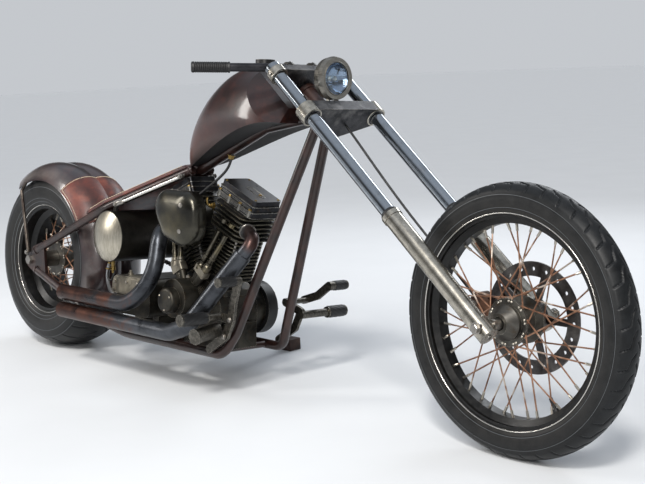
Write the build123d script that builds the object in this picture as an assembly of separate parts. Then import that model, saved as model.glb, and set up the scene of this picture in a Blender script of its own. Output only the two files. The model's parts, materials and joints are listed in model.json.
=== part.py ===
"""Long-fork chopper motorcycle, leaning on its side stand. Millimetres.

Built upright in the bike's own frame: X forward, Y to the bike's left, Z up,
with the rear wheel's foot at the origin. At the end it leans on its stand and
its footprint is centred on the origin.
"""
from build123d import *
import math
import os

# Driving dimensions of the whole bike
WHEELBASE = 2100.0
RAKE = 50.4            # steering axis, degrees from vertical
PARKED_LEAN = 5.35     # degrees to the left
PARKED_STEER = -2.1    # degrees, negative is to the right
FORK_SPACING = 250.0   # fork tube centre to centre
AXIS_OFFSET = 55.0     # front axle ahead of the steering axis
TUBE_OFFSET = 9.0      # front axle ahead of the fork tube line

# Front wheel
FRONT_TYRE_RADIUS = 350.0
FRONT_TYRE_WIDTH = 92.0
FRONT_BEAD_RADIUS = 266.7
FRONT_FLANGE_RADIUS = 279.0
FRONT_RIM_WIDTH = 72.0
FRONT_RIM_DEPTH = 16.0
FRONT_HUB_RADIUS = 36.0
FRONT_HUB_FLANGE_RADIUS = 61.0
FRONT_HUB_WIDTH = 76.0
FRONT_HUB_DOME = (46.0, 27.0, 34.0)  # base radius, top radius, height
FRONT_SPOKES = 40

# Rear wheel
REAR_TYRE_RADIUS = 328.0
REAR_TYRE_WIDTH = 230.0
REAR_BEAD_RADIUS = 190.5
REAR_FLANGE_RADIUS = 207.0
REAR_RIM_WIDTH = 182.0
REAR_RIM_DEPTH = 20.0
REAR_HUB_RADIUS = 42.0
REAR_HUB_FLANGE_RADIUS = 66.0
REAR_HUB_WIDTH = 110.0
REAR_SPOKES = 40

RIM_WALL = 4.0
SPOKE_RADIUS = 2.2
HUB_FLANGE = 7.0
AXLE_RADIUS = 10.0
AXLE_NUT_RADIUS = 17.0
AXLE_NUT_HEIGHT = 11.0
FRONT_SPACER_RADIUS = 15.0
RUNNING_GAP = 0.05     # radial clearance of a running fit
SEAT_GAP = 0.3         # curved faces that sit close
BRAKE_GAP = 2.5        # disc to caliper, each side

# Front brake
DISC_RADIUS = 145.0
DISC_INNER_RADIUS = 108.0
DISC_THICKNESS = 5.0
DISC_SIDE = 64.0       # its inner face
DISC_CENTRE_RADIUS = 48.0
DISC_HOLES = 20
DISC_HOLE_RADIUS = 5.0

# Fork
FORK_TUBE_RADIUS = 20.5
SLIDER_RADIUS = 25.5
SLIDER_LIP = 2.0
SLIDER_LIP_HEIGHT = 14.0
SLIDER_TOP = 408.0
SLIDER_BOTTOM = -26.0
TUBE_SOCKET = 60.0
TREE_RING_RADIUS = 30.0
LOWER_TREE_BASE = 806.0
LOWER_TREE_THICKNESS = 38.0
HEAD_TUBE_BASE = 848.0
HEAD_TUBE_TOP = 984.0
HEAD_TUBE_RADIUS = 26.0
UPPER_TREE_BASE = 988.0
UPPER_TREE_THICKNESS = 22.0
CAP_HEIGHT = 21.0
CAP_RADIUS = 23.5
STEM_RADIUS = 12.7
STEM_BOSS_RADIUS = 31.0

# Handlebar
BAR_RADIUS = 12.5
BAR_RISE = 36.0        # bar centre above the upper yoke
BAR_FWD = -21.0        # bar centre ahead of the front axle, across the fork
BAR_STRAIGHT = 110.0
BAR_HALF_WIDTH = 300.0
BAR_PULLBACK = 128.0
BAR_BEND = 60.0
GRIP_RADIUS = 16.0
GRIP_LENGTH = 108.0
RISER_SPREAD = 45.0
RISER_RADIUS = 17.0

# Headlamp
LAMP_FWD = 55.5        # lamp centre ahead of the front axle, across the fork
LAMP_ALONG = 902.5     # and up the fork
LAMP_RADIUS = 63.0
LAMP_LENS_RADIUS = 46.0
LAMP_DEPTH = 54.0
LAMP_BEZEL = 14.0
LAMP_RECESS = 4.0      # the lens's rim behind the bezel
LAMP_DOME = 6.0
LAMP_LENS_DEPTH = 30.0

# Frame
FRAME_TUBE_RADIUS = 15.0
RAIL_HEIGHT = 126.0
RAIL_HALF_WIDTH = 122.0
REAR_HALF_WIDTH = 155.0
PLATE_THICKNESS = 10.0
SEAT_RAIL_RADIUS = 14.0
SEAT_BEND_X = REAR_TYRE_RADIUS + 142
SEAT_BEND_Z = REAR_TYRE_RADIUS + 218
SEAT_BEND_HALF_WIDTH = 143.0
SEAT_JOINT_X = 815.0
SEAT_JOINT_Z = 686.0
SEAT_JOINT_HALF_WIDTH = 34.0
BRACE_SHARE = 0.41     # where the head's brace meets the backbone, from its front
CROSS_MEMBER_RADIUS = 11.0
CROSS_MEMBERS_X = (1010.0, 800.0, 650.0, 545.0)
SEAT_THICKNESS = 16.0
STRUT_RADIUS = 6.0
STRUT_SIDE = 22.0      # strut centre outside the seat rail's centre
STRUT_DROP = 12.0      # and below it

# Side stand
STAND_PIVOT = (840.0, 153.0, 100.0)
STAND_FOOT = (784.0, 437.0, 40.2)
STAND_RADIUS = 8.5
STAND_EYE_RADIUS = 15.0
STAND_EYE_HEIGHT = 18.0
STAND_PIN_RADIUS = 6.0
STAND_GAP = 1.0        # the eye's faces to the lug and to the pin's head
STAND_LUG_THICKNESS = 10.0
STAND_FOOT_SIZE = 52.0
STAND_FOOT_HEIGHT = 42.0
STAND_TILT = 0.1

# Engine
CRANK_X = 905.0
CRANK_Z = 232.0
V_HALF_ANGLE = 22.5
CASE_RADIUS = 112.0
CASE_HALF_WIDTH = 74.0
BARREL_BASE = 112.0
BARREL_TOP = 290.0
HEAD_TOP = 378.0
ROCKER_TOP = 432.0
BARREL_RADIUS = 54.0
BARREL_FINS = 12
HEAD_FINS = 6
FIN_THICKNESS = 3.6
CAM_X = 868.0
CAM_Z = 280.0
CAM_RADIUS = 62.0
CAM_FLANGE = 18.0
CAM_DEPTH = 78.0
CAM_NOSE_RADIUS = 41.0
CAM_NOSE_DEPTH = 32.0
TUBE_RADIUS = 8.5      # pushrod tubes
TUBE_FOOT_SIDE = 92.0
TUBE_HEAD_SIDE = 75.0
PUSHROD_TUBES = [
    # foot x, foot z, head x, head z
    (968, 385, 1072, 532),
    (938, 390, 1034, 545),
    (826, 390, 804, 545),
    (798, 384, 768, 532),
]
INTAKE_X = 899.0
INTAKE_Z = 545.0
CLEANER_SIDE = 128.0   # its inner face
CLEANER_DEPTH = 66.0
PIPE_RADIUS = 27.0
PIPE_WALL = 2.5
PIPE_SIDE = 212.0
HEADER_RADIUS = 22.0
UPPER_PIPE_END = 312.0
UPPER_PIPE_Z = 246.0
LOWER_PIPE_END = 308.0
LOWER_PIPE_Z = 184.0

# Fuel and oil
OIL_TANK_X = 511.0
OIL_TANK_Z = 452.0
OIL_TANK_RADIUS = 86.0
OIL_TANK_HALF_WIDTH = 160.0
OIL_TANK_DOME = 22.0

# Final drive
CHAIN_SIDE = 131.0
CHAIN_WIDTH = 12.0
CHAIN_DEPTH = 14.0
CHAIN_WAIST = 9.0      # depth between two pins
CHAIN_PITCH = 15.875
CHAIN_GAP = 1.5        # inside of the loop above the sprocket's teeth
SPROCKET_THICKNESS = 8.0
REAR_SPROCKET_RADIUS = 104.0
FRONT_SPROCKET_RADIUS = 46.0
GEARBOX_X = 590.0
GEARBOX_Z = 252.0
GEARBOX_HEIGHT = 128.0
GEARBOX_LENGTH = 190.0
GEARBOX_RIGHT = 112.0
GEARBOX_LEFT = 118.0
GEAR_SHAFT_X = 600.0   # output sprocket and clutch
GEAR_SHAFT_RADIUS = 20.0
PRIMARY_SIDE = 146.0   # its inner face
PRIMARY_THICKNESS = 46.0
CRANK_SPACER_RADIUS = 72.0
CLUTCH_COVER_RADIUS = 64.0

# Foot controls, each peg's x, z, root and end beside the middle
CONTROL_THICKNESS = 10.0
CONTROL_RADIUS = 13.0
PEG_SHAFT_RADIUS = 12.5
PEG_RADIUS = 18.0
PEDAL_RADIUS = 14.5
BRACKET_ROUTE = [(1150, 246), (1124, 192), (1048, 142)]

# Front brake hose, in the fork's own axes
HOSE_RADIUS = 3.5
HOSE_ROUTE = [
    (-40, 24, LOWER_TREE_BASE),
    (-48, 28, 735),
    (-62, 38, 655),
    (-78, 52, 572),
    (-92, 66, 488),
    (-103, 80, 402),
    (-108, 86, 316),
    (-104, 79, 236),
    (-98, 68, 166),
]

# Fuel tank
TANK_FRONT = -100.0    # its front face ahead of the front axle, across the fork

# Rear fender
FENDER_RADIUS = REAR_TYRE_RADIUS + 24
FENDER_HALF_WIDTH = 121.0
FENDER_EDGE_RADIUS = REAR_TYRE_RADIUS - 36
FENDER_WALL = 3.0
FENDER_BACK = 120.0    # degrees round the rear axle, from straight ahead
FENDER_FRONT = -18.0
STAY_ANGLE = 108.5     # where the stay meets the fender's edge

FORK = Plane(
    origin=(WHEELBASE, 0, FRONT_TYRE_RADIUS),
    x_dir=(math.cos(math.radians(RAKE)), 0, math.sin(math.radians(RAKE))),
    z_dir=(-math.sin(math.radians(RAKE)), 0, math.cos(math.radians(RAKE))),
)
BOTH_SIDES = (1, -1)   # left, right


def fork_point(fwd, side, along):
    """A point given across, beside and up the fork, from the front axle."""
    return FORK.from_local_coords(Vector(fwd, side, along))


def rod(start, end, radius):
    """A straight round bar between two points."""
    start = Vector(*start)
    run = Vector(*end) - start
    bar = Cylinder(radius, run.length, align=(Align.CENTER, Align.CENTER, Align.MIN))
    return Plane(origin=start, z_dir=run) * bar


def bent_bar(points, radius, bends):
    """A round bar whose corners are rounded to the given radii."""
    path = FilletPolyline(*points, radius=bends)
    return sweep(Plane(origin=path @ 0, z_dir=path % 0) * Circle(radius), path=path)


def cross_disc(x, z, y_start, y_end, radius):
    """A round solid whose axis runs across the bike."""
    return rod((x, y_start, z), (x, y_end, z), radius)


def mirrored(shape):
    """The same piece on the bike's other side."""
    return mirror(shape, about=Plane.XZ)


def both(shape):
    """A piece and its mirror image, as two solids of one node."""
    return Compound(children=[*shape.solids(), *mirrored(shape).solids()])


def turned(profile, arc=360.0):
    """Revolve an outline drawn with X as radius and Y as width round the wheel's axis."""
    return revolve(profile, axis=Axis.Y, revolution_arc=arc)


def dome_middle(radius, rise):
    """Halfway point of a dome's arc, as distance from the axis and height over its rim."""
    ball = (radius**2 + rise**2) / (2 * rise)
    angle = math.asin(radius / ball) / 2
    return ball * math.sin(angle), rise - ball + ball * math.cos(angle)


# Wheels, centred on the origin with the axle along Y


def tyre(outer, width, bead, rim_width):
    """A tyre seated on the rim's bead."""
    half = width / 2
    seat = rim_width / 2 - RIM_WALL
    shoulder = bead + (outer - bead) * 0.78
    waist = bead + (outer - bead) * 0.42
    tread = half * 0.86
    with BuildSketch() as section:
        with BuildLine():
            Line((bead, -seat), (bead, seat))
            ThreePointArc((bead, seat), (waist, half), (shoulder, tread))
            ThreePointArc((shoulder, tread), (outer, 0), (shoulder, -tread))
            ThreePointArc((shoulder, -tread), (waist, -half), (bead, -seat))
        make_face()
    return turned(section.sketch)


def rim(bead, flange, width, depth):
    """A drop-centre rim with raised flanges."""
    half = width / 2
    well = half * 0.45
    slope = well + depth * 0.6
    half_outline = [
        (bead - depth, well),
        (bead, slope),
        (bead, half - RIM_WALL),
        (flange, half - RIM_WALL),
        (flange, half),
        (bead - RIM_WALL, half),
        (bead - RIM_WALL, slope),
        (bead - depth - RIM_WALL, well),
    ]
    other_half = [(radius, -y) for radius, y in reversed(half_outline)]
    return turned(make_face(Polyline(*half_outline, *other_half, close=True)))


def hub(radius, flange_radius, width, dome=None):
    """A hub with two spoke flanges, a bore for its axle and a domed cover on its right."""
    body = cross_disc(0, 0, -width / 2, width / 2, radius)
    for side in BOTH_SIDES:
        inner = side * (width / 2 - HUB_FLANGE)
        body += cross_disc(0, 0, inner, side * width / 2, flange_radius)
    body -= cross_disc(0, 0, -width, width, AXLE_RADIUS + RUNNING_GAP)
    if dome:
        base, top, height = dome
        cover = [
            (FRONT_SPACER_RADIUS + 3, -width / 2),
            (base, -width / 2),
            (base, -width / 2 - height * 0.3),
            (top, -width / 2 - height),
            (FRONT_SPACER_RADIUS + 3, -width / 2 - height),
        ]
        body += turned(make_face(Polyline(*cover, close=True)))
    return body


def spokes(count, flange_radius, hub_width, well_radius, well_spread):
    """Crossed spokes, from the two hub flanges to the rim's well."""
    lead_angle = 360.0 / count * 5.5
    pegs = []
    for index in range(count):
        side = 1 if index % 2 else -1
        lead = 1 if index % 4 < 2 else -1
        rim_angle = math.radians(360.0 / count * index)
        hub_angle = rim_angle + math.radians(lead * lead_angle)
        start = Vector(
            flange_radius * math.cos(hub_angle),
            side * (hub_width / 2 - HUB_FLANGE / 2),
            flange_radius * math.sin(hub_angle),
        )
        end = Vector(
            well_radius * math.cos(rim_angle),
            side * well_spread,
            well_radius * math.sin(rim_angle),
        )
        run = end - start
        section = Plane(origin=start, z_dir=run) * RegularPolygon(SPOKE_RADIUS, 6)
        pegs.append(extrude(section, amount=run.length, dir=run))
    return Compound(children=[solid for peg in pegs for solid in peg.solids()])


def brake_disc():
    """A drilled brake ring on a five-armed spider that stands on the hub's left end."""
    face = DISC_SIDE + DISC_THICKNESS
    ring = cross_disc(0, 0, DISC_SIDE, face, DISC_RADIUS)
    ring -= cross_disc(0, 0, DISC_SIDE, face, DISC_INNER_RADIUS)
    middle = (DISC_RADIUS + DISC_INNER_RADIUS) / 2
    for index in range(DISC_HOLES):
        angle = math.radians(360.0 / DISC_HOLES * index)
        x = middle * math.cos(angle)
        z = middle * math.sin(angle)
        ring -= cross_disc(x, z, DISC_SIDE, face, DISC_HOLE_RADIUS)
    spider = cross_disc(0, 0, FRONT_HUB_WIDTH / 2, face, DISC_CENTRE_RADIUS)
    arm = Pos(0, DISC_SIDE, 0) * Box(
        DISC_INNER_RADIUS + 6, DISC_THICKNESS, 20, align=(Align.MIN, Align.MIN, Align.CENTER)
    )
    for index in range(5):
        spider += Rot(Y=72 * index) * arm
    return ring + spider - cross_disc(0, 0, 0, face, FRONT_SPACER_RADIUS + 3)


def sprocket(radius, teeth):
    """A toothed chain wheel, its middle on y = 0."""
    root = radius - 6
    half = SPROCKET_THICKNESS / 2
    wheel = cross_disc(0, 0, -half, half, root)
    for index in range(teeth):
        tooth = Box(7, SPROCKET_THICKNESS, 5, align=(Align.MIN, Align.CENTER, Align.CENTER))
        wheel += Rot(Y=360.0 / teeth * index) * Pos(root - 1, 0, 0) * tooth
    return wheel


# Fork and steering, in the fork's own axes: X ahead, Y left, Z up the tubes


def yoke_plate(ring_radius, base, thickness):
    """The flat body that joins the two fork tubes and the stem."""
    circles = [Pos(-AXIS_OFFSET, 0) * Circle(STEM_BOSS_RADIUS)]
    for side in BOTH_SIDES:
        circles.append(Pos(-TUBE_OFFSET, side * FORK_SPACING / 2) * Circle(ring_radius))
    outline = make_hull([edge for circle in circles for edge in circle.edges()])
    plate = extrude(Pos(0, 0, base) * outline, amount=thickness)
    for side in BOTH_SIDES:
        bore = Pos(-TUBE_OFFSET, side * FORK_SPACING / 2, base) * Cylinder(
            FORK_TUBE_RADIUS, thickness, align=(Align.CENTER, Align.CENTER, Align.MIN)
        )
        plate -= bore
    return plate


def upright(x, y, base, height, radius):
    """A round solid that stands on its base."""
    return Pos(x, y, base) * Cylinder(
        radius, height, align=(Align.CENTER, Align.CENTER, Align.MIN)
    )


def lower_yoke():
    """Lower yoke and the steering stem that rises through the head tube."""
    plate = yoke_plate(TREE_RING_RADIUS, LOWER_TREE_BASE, LOWER_TREE_THICKNESS)
    stem = upright(
        -AXIS_OFFSET, 0, LOWER_TREE_BASE, UPPER_TREE_BASE - LOWER_TREE_BASE, STEM_RADIUS
    )
    return FORK.location * (plate + stem)


def upper_yoke():
    """Upper yoke with the two risers that carry the bar."""
    plate = yoke_plate(TREE_RING_RADIUS - 3, UPPER_TREE_BASE, UPPER_TREE_THICKNESS)
    top = UPPER_TREE_BASE + UPPER_TREE_THICKNESS
    for side in BOTH_SIDES:
        riser = upright(BAR_FWD, side * RISER_SPREAD, top, BAR_RISE, RISER_RADIUS)
        plate += riser
    bar = Pos(BAR_FWD, 0, top + BAR_RISE) * Rot(X=90) * Cylinder(BAR_RADIUS, 2 * BAR_STRAIGHT)
    stem_nut = upright(-AXIS_OFFSET, 0, top, 14, 18)
    return FORK.location * (plate - bar + stem_nut)


def fork_tube():
    """Left fork tube with its cap, from inside the slider to above the upper yoke."""
    foot = SLIDER_TOP - TUBE_SOCKET
    top = UPPER_TREE_BASE + UPPER_TREE_THICKNESS
    tube = upright(-TUBE_OFFSET, FORK_SPACING / 2, foot, top - foot, FORK_TUBE_RADIUS)
    cap = upright(-TUBE_OFFSET, FORK_SPACING / 2, top, CAP_HEIGHT, CAP_RADIUS)
    return FORK.location * (tube + chamfer(cap.edges().group_by(Axis.Z)[-1], 2.5))


def slider():
    """Left lower leg, bored for its tube and for the axle."""
    height = SLIDER_TOP - SLIDER_BOTTOM
    leg = upright(-TUBE_OFFSET, FORK_SPACING / 2, SLIDER_BOTTOM, height, SLIDER_RADIUS)
    lip_base = SLIDER_TOP - SLIDER_LIP_HEIGHT
    leg += upright(
        -TUBE_OFFSET, FORK_SPACING / 2, lip_base, SLIDER_LIP_HEIGHT, SLIDER_RADIUS + SLIDER_LIP
    )
    leg -= upright(
        -TUBE_OFFSET, FORK_SPACING / 2, SLIDER_TOP - TUBE_SOCKET, TUBE_SOCKET, FORK_TUBE_RADIUS
    )
    axle = Pos(0, FORK_SPACING / 2, 0) * Rot(X=90) * Cylinder(AXLE_RADIUS, 3 * SLIDER_RADIUS)
    return FORK.location * (leg - axle)


def front_axle():
    """The front axle with its end nuts."""
    end = FORK_SPACING / 2 + SLIDER_RADIUS
    axle = cross_disc(WHEELBASE, FRONT_TYRE_RADIUS, -end, end, AXLE_RADIUS)
    for side in BOTH_SIDES:
        axle += cross_disc(
            WHEELBASE, FRONT_TYRE_RADIUS, side * end, side * (end + 6), AXLE_RADIUS + 3
        )
    inner = FORK_SPACING / 2 - SLIDER_RADIUS
    hub_end = FRONT_HUB_WIDTH / 2 + 1
    for side in BOTH_SIDES:
        axle += cross_disc(
            WHEELBASE, FRONT_TYRE_RADIUS, side * hub_end, side * inner, FRONT_SPACER_RADIUS
        )
    return axle


def handlebar():
    """A pulled-back bar that crosses in the risers."""
    centre = UPPER_TREE_BASE + UPPER_TREE_THICKNESS + BAR_RISE
    middle = fork_point(BAR_FWD, 0, centre)
    points = []
    for side, reach in ((1, 1.0), (1, 0.0), (-1, 0.0), (-1, 1.0)):
        out = BAR_STRAIGHT + reach * (BAR_HALF_WIDTH - BAR_STRAIGHT)
        points.append((middle.X - reach * BAR_PULLBACK, side * out, middle.Z))
    return bent_bar(points, BAR_RADIUS, BAR_BEND)


def grip():
    """Left hand grip, closed at its end."""
    middle = fork_point(BAR_FWD, 0, UPPER_TREE_BASE + UPPER_TREE_THICKNESS + BAR_RISE)
    sweep_back = Vector(-BAR_PULLBACK, BAR_HALF_WIDTH - BAR_STRAIGHT, 0).normalized()
    end = Vector(middle.X - BAR_PULLBACK, BAR_HALF_WIDTH, middle.Z)
    start = end - sweep_back * GRIP_LENGTH
    tip = end + sweep_back * 4
    return rod(start, tip, GRIP_RADIUS) - rod(start - sweep_back, end, BAR_RADIUS)


def lamp_centre():
    """The middle of the lamp's front, which looks straight ahead."""
    return fork_point(LAMP_FWD, 0, LAMP_ALONG)


def lamp_shell():
    """The lamp's cup with its bezel ring and the two bolts that stand it on the yoke."""
    outline = Polyline(
        (0, LAMP_LENS_RADIUS),
        (0, LAMP_RADIUS - 3),
        (-LAMP_BEZEL, LAMP_RADIUS),
        (-LAMP_DEPTH * 0.6, LAMP_RADIUS - 3),
        (-LAMP_DEPTH * 0.88, LAMP_RADIUS * 0.72),
        (-LAMP_DEPTH, LAMP_RADIUS * 0.4),
        (-LAMP_DEPTH, 0),
        (-LAMP_LENS_DEPTH, 0),
        (-LAMP_LENS_DEPTH, LAMP_LENS_RADIUS),
        close=True,
    )
    cup = revolve(make_face(outline), axis=Axis.X)
    return Location(lamp_centre()) * cup


def lamp_lens():
    """A lens with a shallow dome, seated in the cup."""
    out, rise = dome_middle(LAMP_LENS_RADIUS, LAMP_DOME)
    rim = (-LAMP_RECESS, LAMP_LENS_RADIUS)
    tip = (LAMP_DOME - LAMP_RECESS, 0)
    with BuildSketch() as section:
        with BuildLine():
            Polyline(tip, (-LAMP_LENS_DEPTH, 0), (-LAMP_LENS_DEPTH, LAMP_LENS_RADIUS), rim)
            ThreePointArc(rim, (rise - LAMP_RECESS, out), tip)
        make_face()
    return Location(lamp_centre()) * revolve(section.sketch, axis=Axis.X)


def lamp_bracket():
    """Two short legs from the lower yoke to the lamp."""
    foot = fork_point(-26, 0, LOWER_TREE_BASE + LOWER_TREE_THICKNESS - 2)
    head = lamp_centre() - Vector(LAMP_DEPTH * 0.4, 0, LAMP_RADIUS - 6)
    leg = rod(foot, head, 6)
    return Pos(0, 17, 0) * leg + Pos(0, -17, 0) * leg


def caliper():
    """Left brake caliper that straddles the disc behind the slider."""
    mid = DISC_SIDE + DISC_THICKNESS / 2
    body = fillet(Box(64, 46, 96).edges().filter_by(Axis.Y), 14)
    arm = Pos(46, 18, -10) * Box(60, 12, 44)
    slot = Pos(0, mid, 0) * Rot(X=90) * Cylinder(
        DISC_RADIUS + 2 * BRAKE_GAP, DISC_THICKNESS + 2 * BRAKE_GAP
    )
    leg = upright(-TUBE_OFFSET, FORK_SPACING / 2, 0, SLIDER_TOP, SLIDER_RADIUS)
    return FORK.location * (Pos(-98, mid, 118) * (body + arm) - slot - leg)


# Frame


def head_tube():
    """The steering head, bored for the stem."""
    height = HEAD_TUBE_TOP - HEAD_TUBE_BASE
    tube = upright(-AXIS_OFFSET, 0, HEAD_TUBE_BASE, height, HEAD_TUBE_RADIUS)
    for base in (HEAD_TUBE_BASE, HEAD_TUBE_TOP - 14):
        tube += upright(-AXIS_OFFSET, 0, base, 14, HEAD_TUBE_RADIUS + 4)
    bore = upright(-AXIS_OFFSET, 0, HEAD_TUBE_BASE, height, STEM_RADIUS + RUNNING_GAP)
    return FORK.location * (tube - bore)


def backbone():
    """The top tube from the head down to the seat rails, its lower brace and gusset."""
    high = fork_point(-AXIS_OFFSET, 0, HEAD_TUBE_TOP - 34)
    low = fork_point(-AXIS_OFFSET, 0, HEAD_TUBE_BASE + 26)
    tail = Vector(SEAT_JOINT_X - 10, 0, SEAT_JOINT_Z)
    main = rod(high, tail, FRAME_TUBE_RADIUS + 4)
    brace_end = high + (tail - high) * BRACE_SHARE
    brace = rod(low, brace_end, FRAME_TUBE_RADIUS)
    web = make_face(
        Polyline((high.X, high.Z), (low.X, low.Z), (brace_end.X, brace_end.Z), close=True)
    )
    gusset = extrude(Plane.XZ * web, amount=4, both=True)
    return main + brace + gusset


def cradle_tube():
    """Left tube from the head down, under the engine and up to the axle plate."""
    points = [
        fork_point(-AXIS_OFFSET - 6, 20, HEAD_TUBE_BASE + 23),
        (1128, 102, 200),
        (1090, RAIL_HALF_WIDTH, RAIL_HEIGHT),
        (570, RAIL_HALF_WIDTH + 2, RAIL_HEIGHT),
        (420, REAR_HALF_WIDTH, RAIL_HEIGHT + 41),
        (36, REAR_HALF_WIDTH, REAR_TYRE_RADIUS - 32),
    ]
    return bent_bar(points, FRAME_TUBE_RADIUS, [60, 55, 100, 100])


def cradle_tubes():
    """Both cradle tubes, the left one with the stand's lug and pin."""
    tube = cradle_tube()
    return Compound(children=[*(tube + stand_lug()).solids(), *mirrored(tube).solids()])


def seat_rail():
    """Left upper rail, from the axle plate to the backbone under the tank's tail."""
    points = [
        seat_rail_foot(),
        (SEAT_BEND_X, SEAT_BEND_HALF_WIDTH, SEAT_BEND_Z),
        (SEAT_JOINT_X, SEAT_JOINT_HALF_WIDTH, SEAT_JOINT_Z),
    ]
    return bent_bar(points, SEAT_RAIL_RADIUS, 260)


def seat_rail_foot():
    """Where the left seat rail starts, in the axle plate."""
    return Vector(24, REAR_HALF_WIDTH, REAR_TYRE_RADIUS + 32)


def rail_at_radius(radius):
    """Where the seat rail's rear run lies at a distance from the rear axle, as (x, z)."""
    foot = seat_rail_foot() - Vector(0, 0, REAR_TYRE_RADIUS)
    bend = Vector(SEAT_BEND_X, 0, SEAT_BEND_Z - REAR_TYRE_RADIUS)
    run_x = bend.X - foot.X
    run_z = bend.Z - foot.Z
    square = run_x**2 + run_z**2
    half = foot.X * run_x + foot.Z * run_z
    rest = foot.X**2 + foot.Z**2 - radius**2
    share = (math.sqrt(half**2 - square * rest) - half) / square
    return foot.X + run_x * share, REAR_TYRE_RADIUS + foot.Z + run_z * share


def seat_rail_point(share):
    """A point of the left seat rail's front run, as a share of the run from its bend."""
    bend = Vector(SEAT_BEND_X, SEAT_BEND_HALF_WIDTH, SEAT_BEND_Z)
    joint = Vector(SEAT_JOINT_X, SEAT_JOINT_HALF_WIDTH, SEAT_JOINT_Z)
    return bend + (joint - bend) * share


def axle_plate():
    """Left triangular dropout plate with its slot for the axle."""
    corners = [(-26, 12), (18, 50), (92, 74), (108, -66), (44, -54), (-22, -22)]
    outline = fillet(make_face(Polyline(*corners, close=True)).vertices(), 9)
    origin = (0, REAR_HALF_WIDTH, REAR_TYRE_RADIUS)
    plate = Plane(origin=origin, x_dir=(1, 0, 0), z_dir=(0, -1, 0)) * outline
    slab = extrude(plate, amount=PLATE_THICKNESS / 2, both=True)
    return slab - cross_disc(0, REAR_TYRE_RADIUS, 100, 200, AXLE_RADIUS)


def cross_members():
    """Tubes between the cradle's rails, under the engine and the gearbox."""
    tubes = [
        cross_disc(x, RAIL_HEIGHT, -RAIL_HALF_WIDTH, RAIL_HALF_WIDTH, CROSS_MEMBER_RADIUS)
        for x in CROSS_MEMBERS_X
    ]
    return Compound(children=[solid for tube in tubes for solid in tube.solids()])


def mount_lug(x, half_width, top):
    """A foot that stands on the cross member at x and reaches up into a case."""
    return Pos(x, 0, RAIL_HEIGHT) * Box(
        3 * CROSS_MEMBER_RADIUS,
        2 * half_width,
        top - RAIL_HEIGHT,
        align=(Align.CENTER, Align.CENTER, Align.MIN),
    )


def rear_axle():
    """The rear axle with its nuts and its right spacer."""
    end = REAR_HALF_WIDTH + PLATE_THICKNESS / 2
    axle = cross_disc(0, REAR_TYRE_RADIUS, -end, end, AXLE_RADIUS)
    inner = REAR_HALF_WIDTH - PLATE_THICKNESS / 2
    hub_end = REAR_HUB_WIDTH / 2 + 1
    axle += cross_disc(0, REAR_TYRE_RADIUS, -hub_end, -inner, 3 * AXLE_RADIUS)
    sprocket_end = CHAIN_SIDE + SPROCKET_THICKNESS / 2 + 1
    axle += cross_disc(0, REAR_TYRE_RADIUS, sprocket_end, inner, 2 * AXLE_RADIUS)
    for side in BOTH_SIDES:
        nut = Rot(X=90) * extrude(RegularPolygon(AXLE_NUT_RADIUS, 6), AXLE_NUT_HEIGHT / 2, both=True)
        axle += Pos(0, side * (end + AXLE_NUT_HEIGHT / 2), REAR_TYRE_RADIUS) * nut
    return axle


# Bodywork


def tank_section(x, half_width, seam, top, crown):
    """One arched section of the fuel tank: flat base, sides, and a round top."""
    plane = Plane(origin=(x, 0, 0), x_dir=(0, 1, 0), z_dir=(1, 0, 0))
    reach = crown * math.sin(math.radians(38))
    shoulder = top - crown + crown * math.cos(math.radians(38))
    slope = (math.cos(math.radians(38)), -math.sin(math.radians(38)))
    with BuildLine() as outline:
        Line((-half_width, seam), (half_width, seam))
        TangentArc((reach, shoulder), (half_width, seam), tangent=slope)
        ThreePointArc((reach, shoulder), (0, top), (-reach, shoulder))
        TangentArc((-reach, shoulder), (-half_width, seam), tangent=(-slope[0], slope[1]))
    return plane * make_face(outline.line)


def tank_x(share):
    """A place along the tank, from its tail to the steering head's foot."""
    tail = SEAT_JOINT_X - 9
    return tail + (fork_point(-AXIS_OFFSET, 0, HEAD_TUBE_BASE).X - tail) * share


def fuel_tank():
    """A tall tank that straddles the backbone, tapered to a tail over the seat rails."""
    sections = [
        # share of the tank's run, half width, seam height, top height, crown radius
        (0.0, 40, 697, 748, 44),
        (0.089, 64, 710, 866, 62),
        (0.238, 90, 746, 962, 74),
        (0.4525, 118, 797, 1013, 88),
        (0.651, 129, 832, 1008, 96),
        (0.816, 104, 838, 962, 84),
    ]
    body = loft([tank_section(tank_x(share), *row) for share, *row in sections])
    high = fork_point(-AXIS_OFFSET, 0, HEAD_TUBE_TOP - 34)
    clear = FRAME_TUBE_RADIUS + 8
    tunnel = rod(high, (SEAT_JOINT_X - 60, 0, SEAT_JOINT_Z - 22), clear)
    drop = extrude(
        Plane.XZ
        * make_face(
            Polyline(
                (high.X, high.Z),
                (SEAT_JOINT_X - 60, SEAT_JOINT_Z - 22),
                (SEAT_JOINT_X - 60, SEAT_JOINT_Z - 122),
                (high.X, SEAT_JOINT_Z - 122),
                close=True,
            )
        ),
        amount=clear,
        both=True,
    )
    nose = FORK.location * Pos(TANK_FRONT, 0, 1000) * Box(
        600, 600, 900, align=(Align.MIN, Align.CENTER, Align.CENTER)
    )
    body = body - tunnel - drop - nose
    for side in BOTH_SIDES:
        corner = FORK.location * Pos(TANK_FRONT, side * 62, 1000) * Rot(Z=side * 44) * Box(
            300, 300, 900, align=(Align.MIN, Align.CENTER, Align.CENTER)
        )
        body -= corner
    return body


def filler_cap():
    """The fuel cap on the crown."""
    return upright(tank_x(0.52), 0, 1010, 22, 30)


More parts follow.
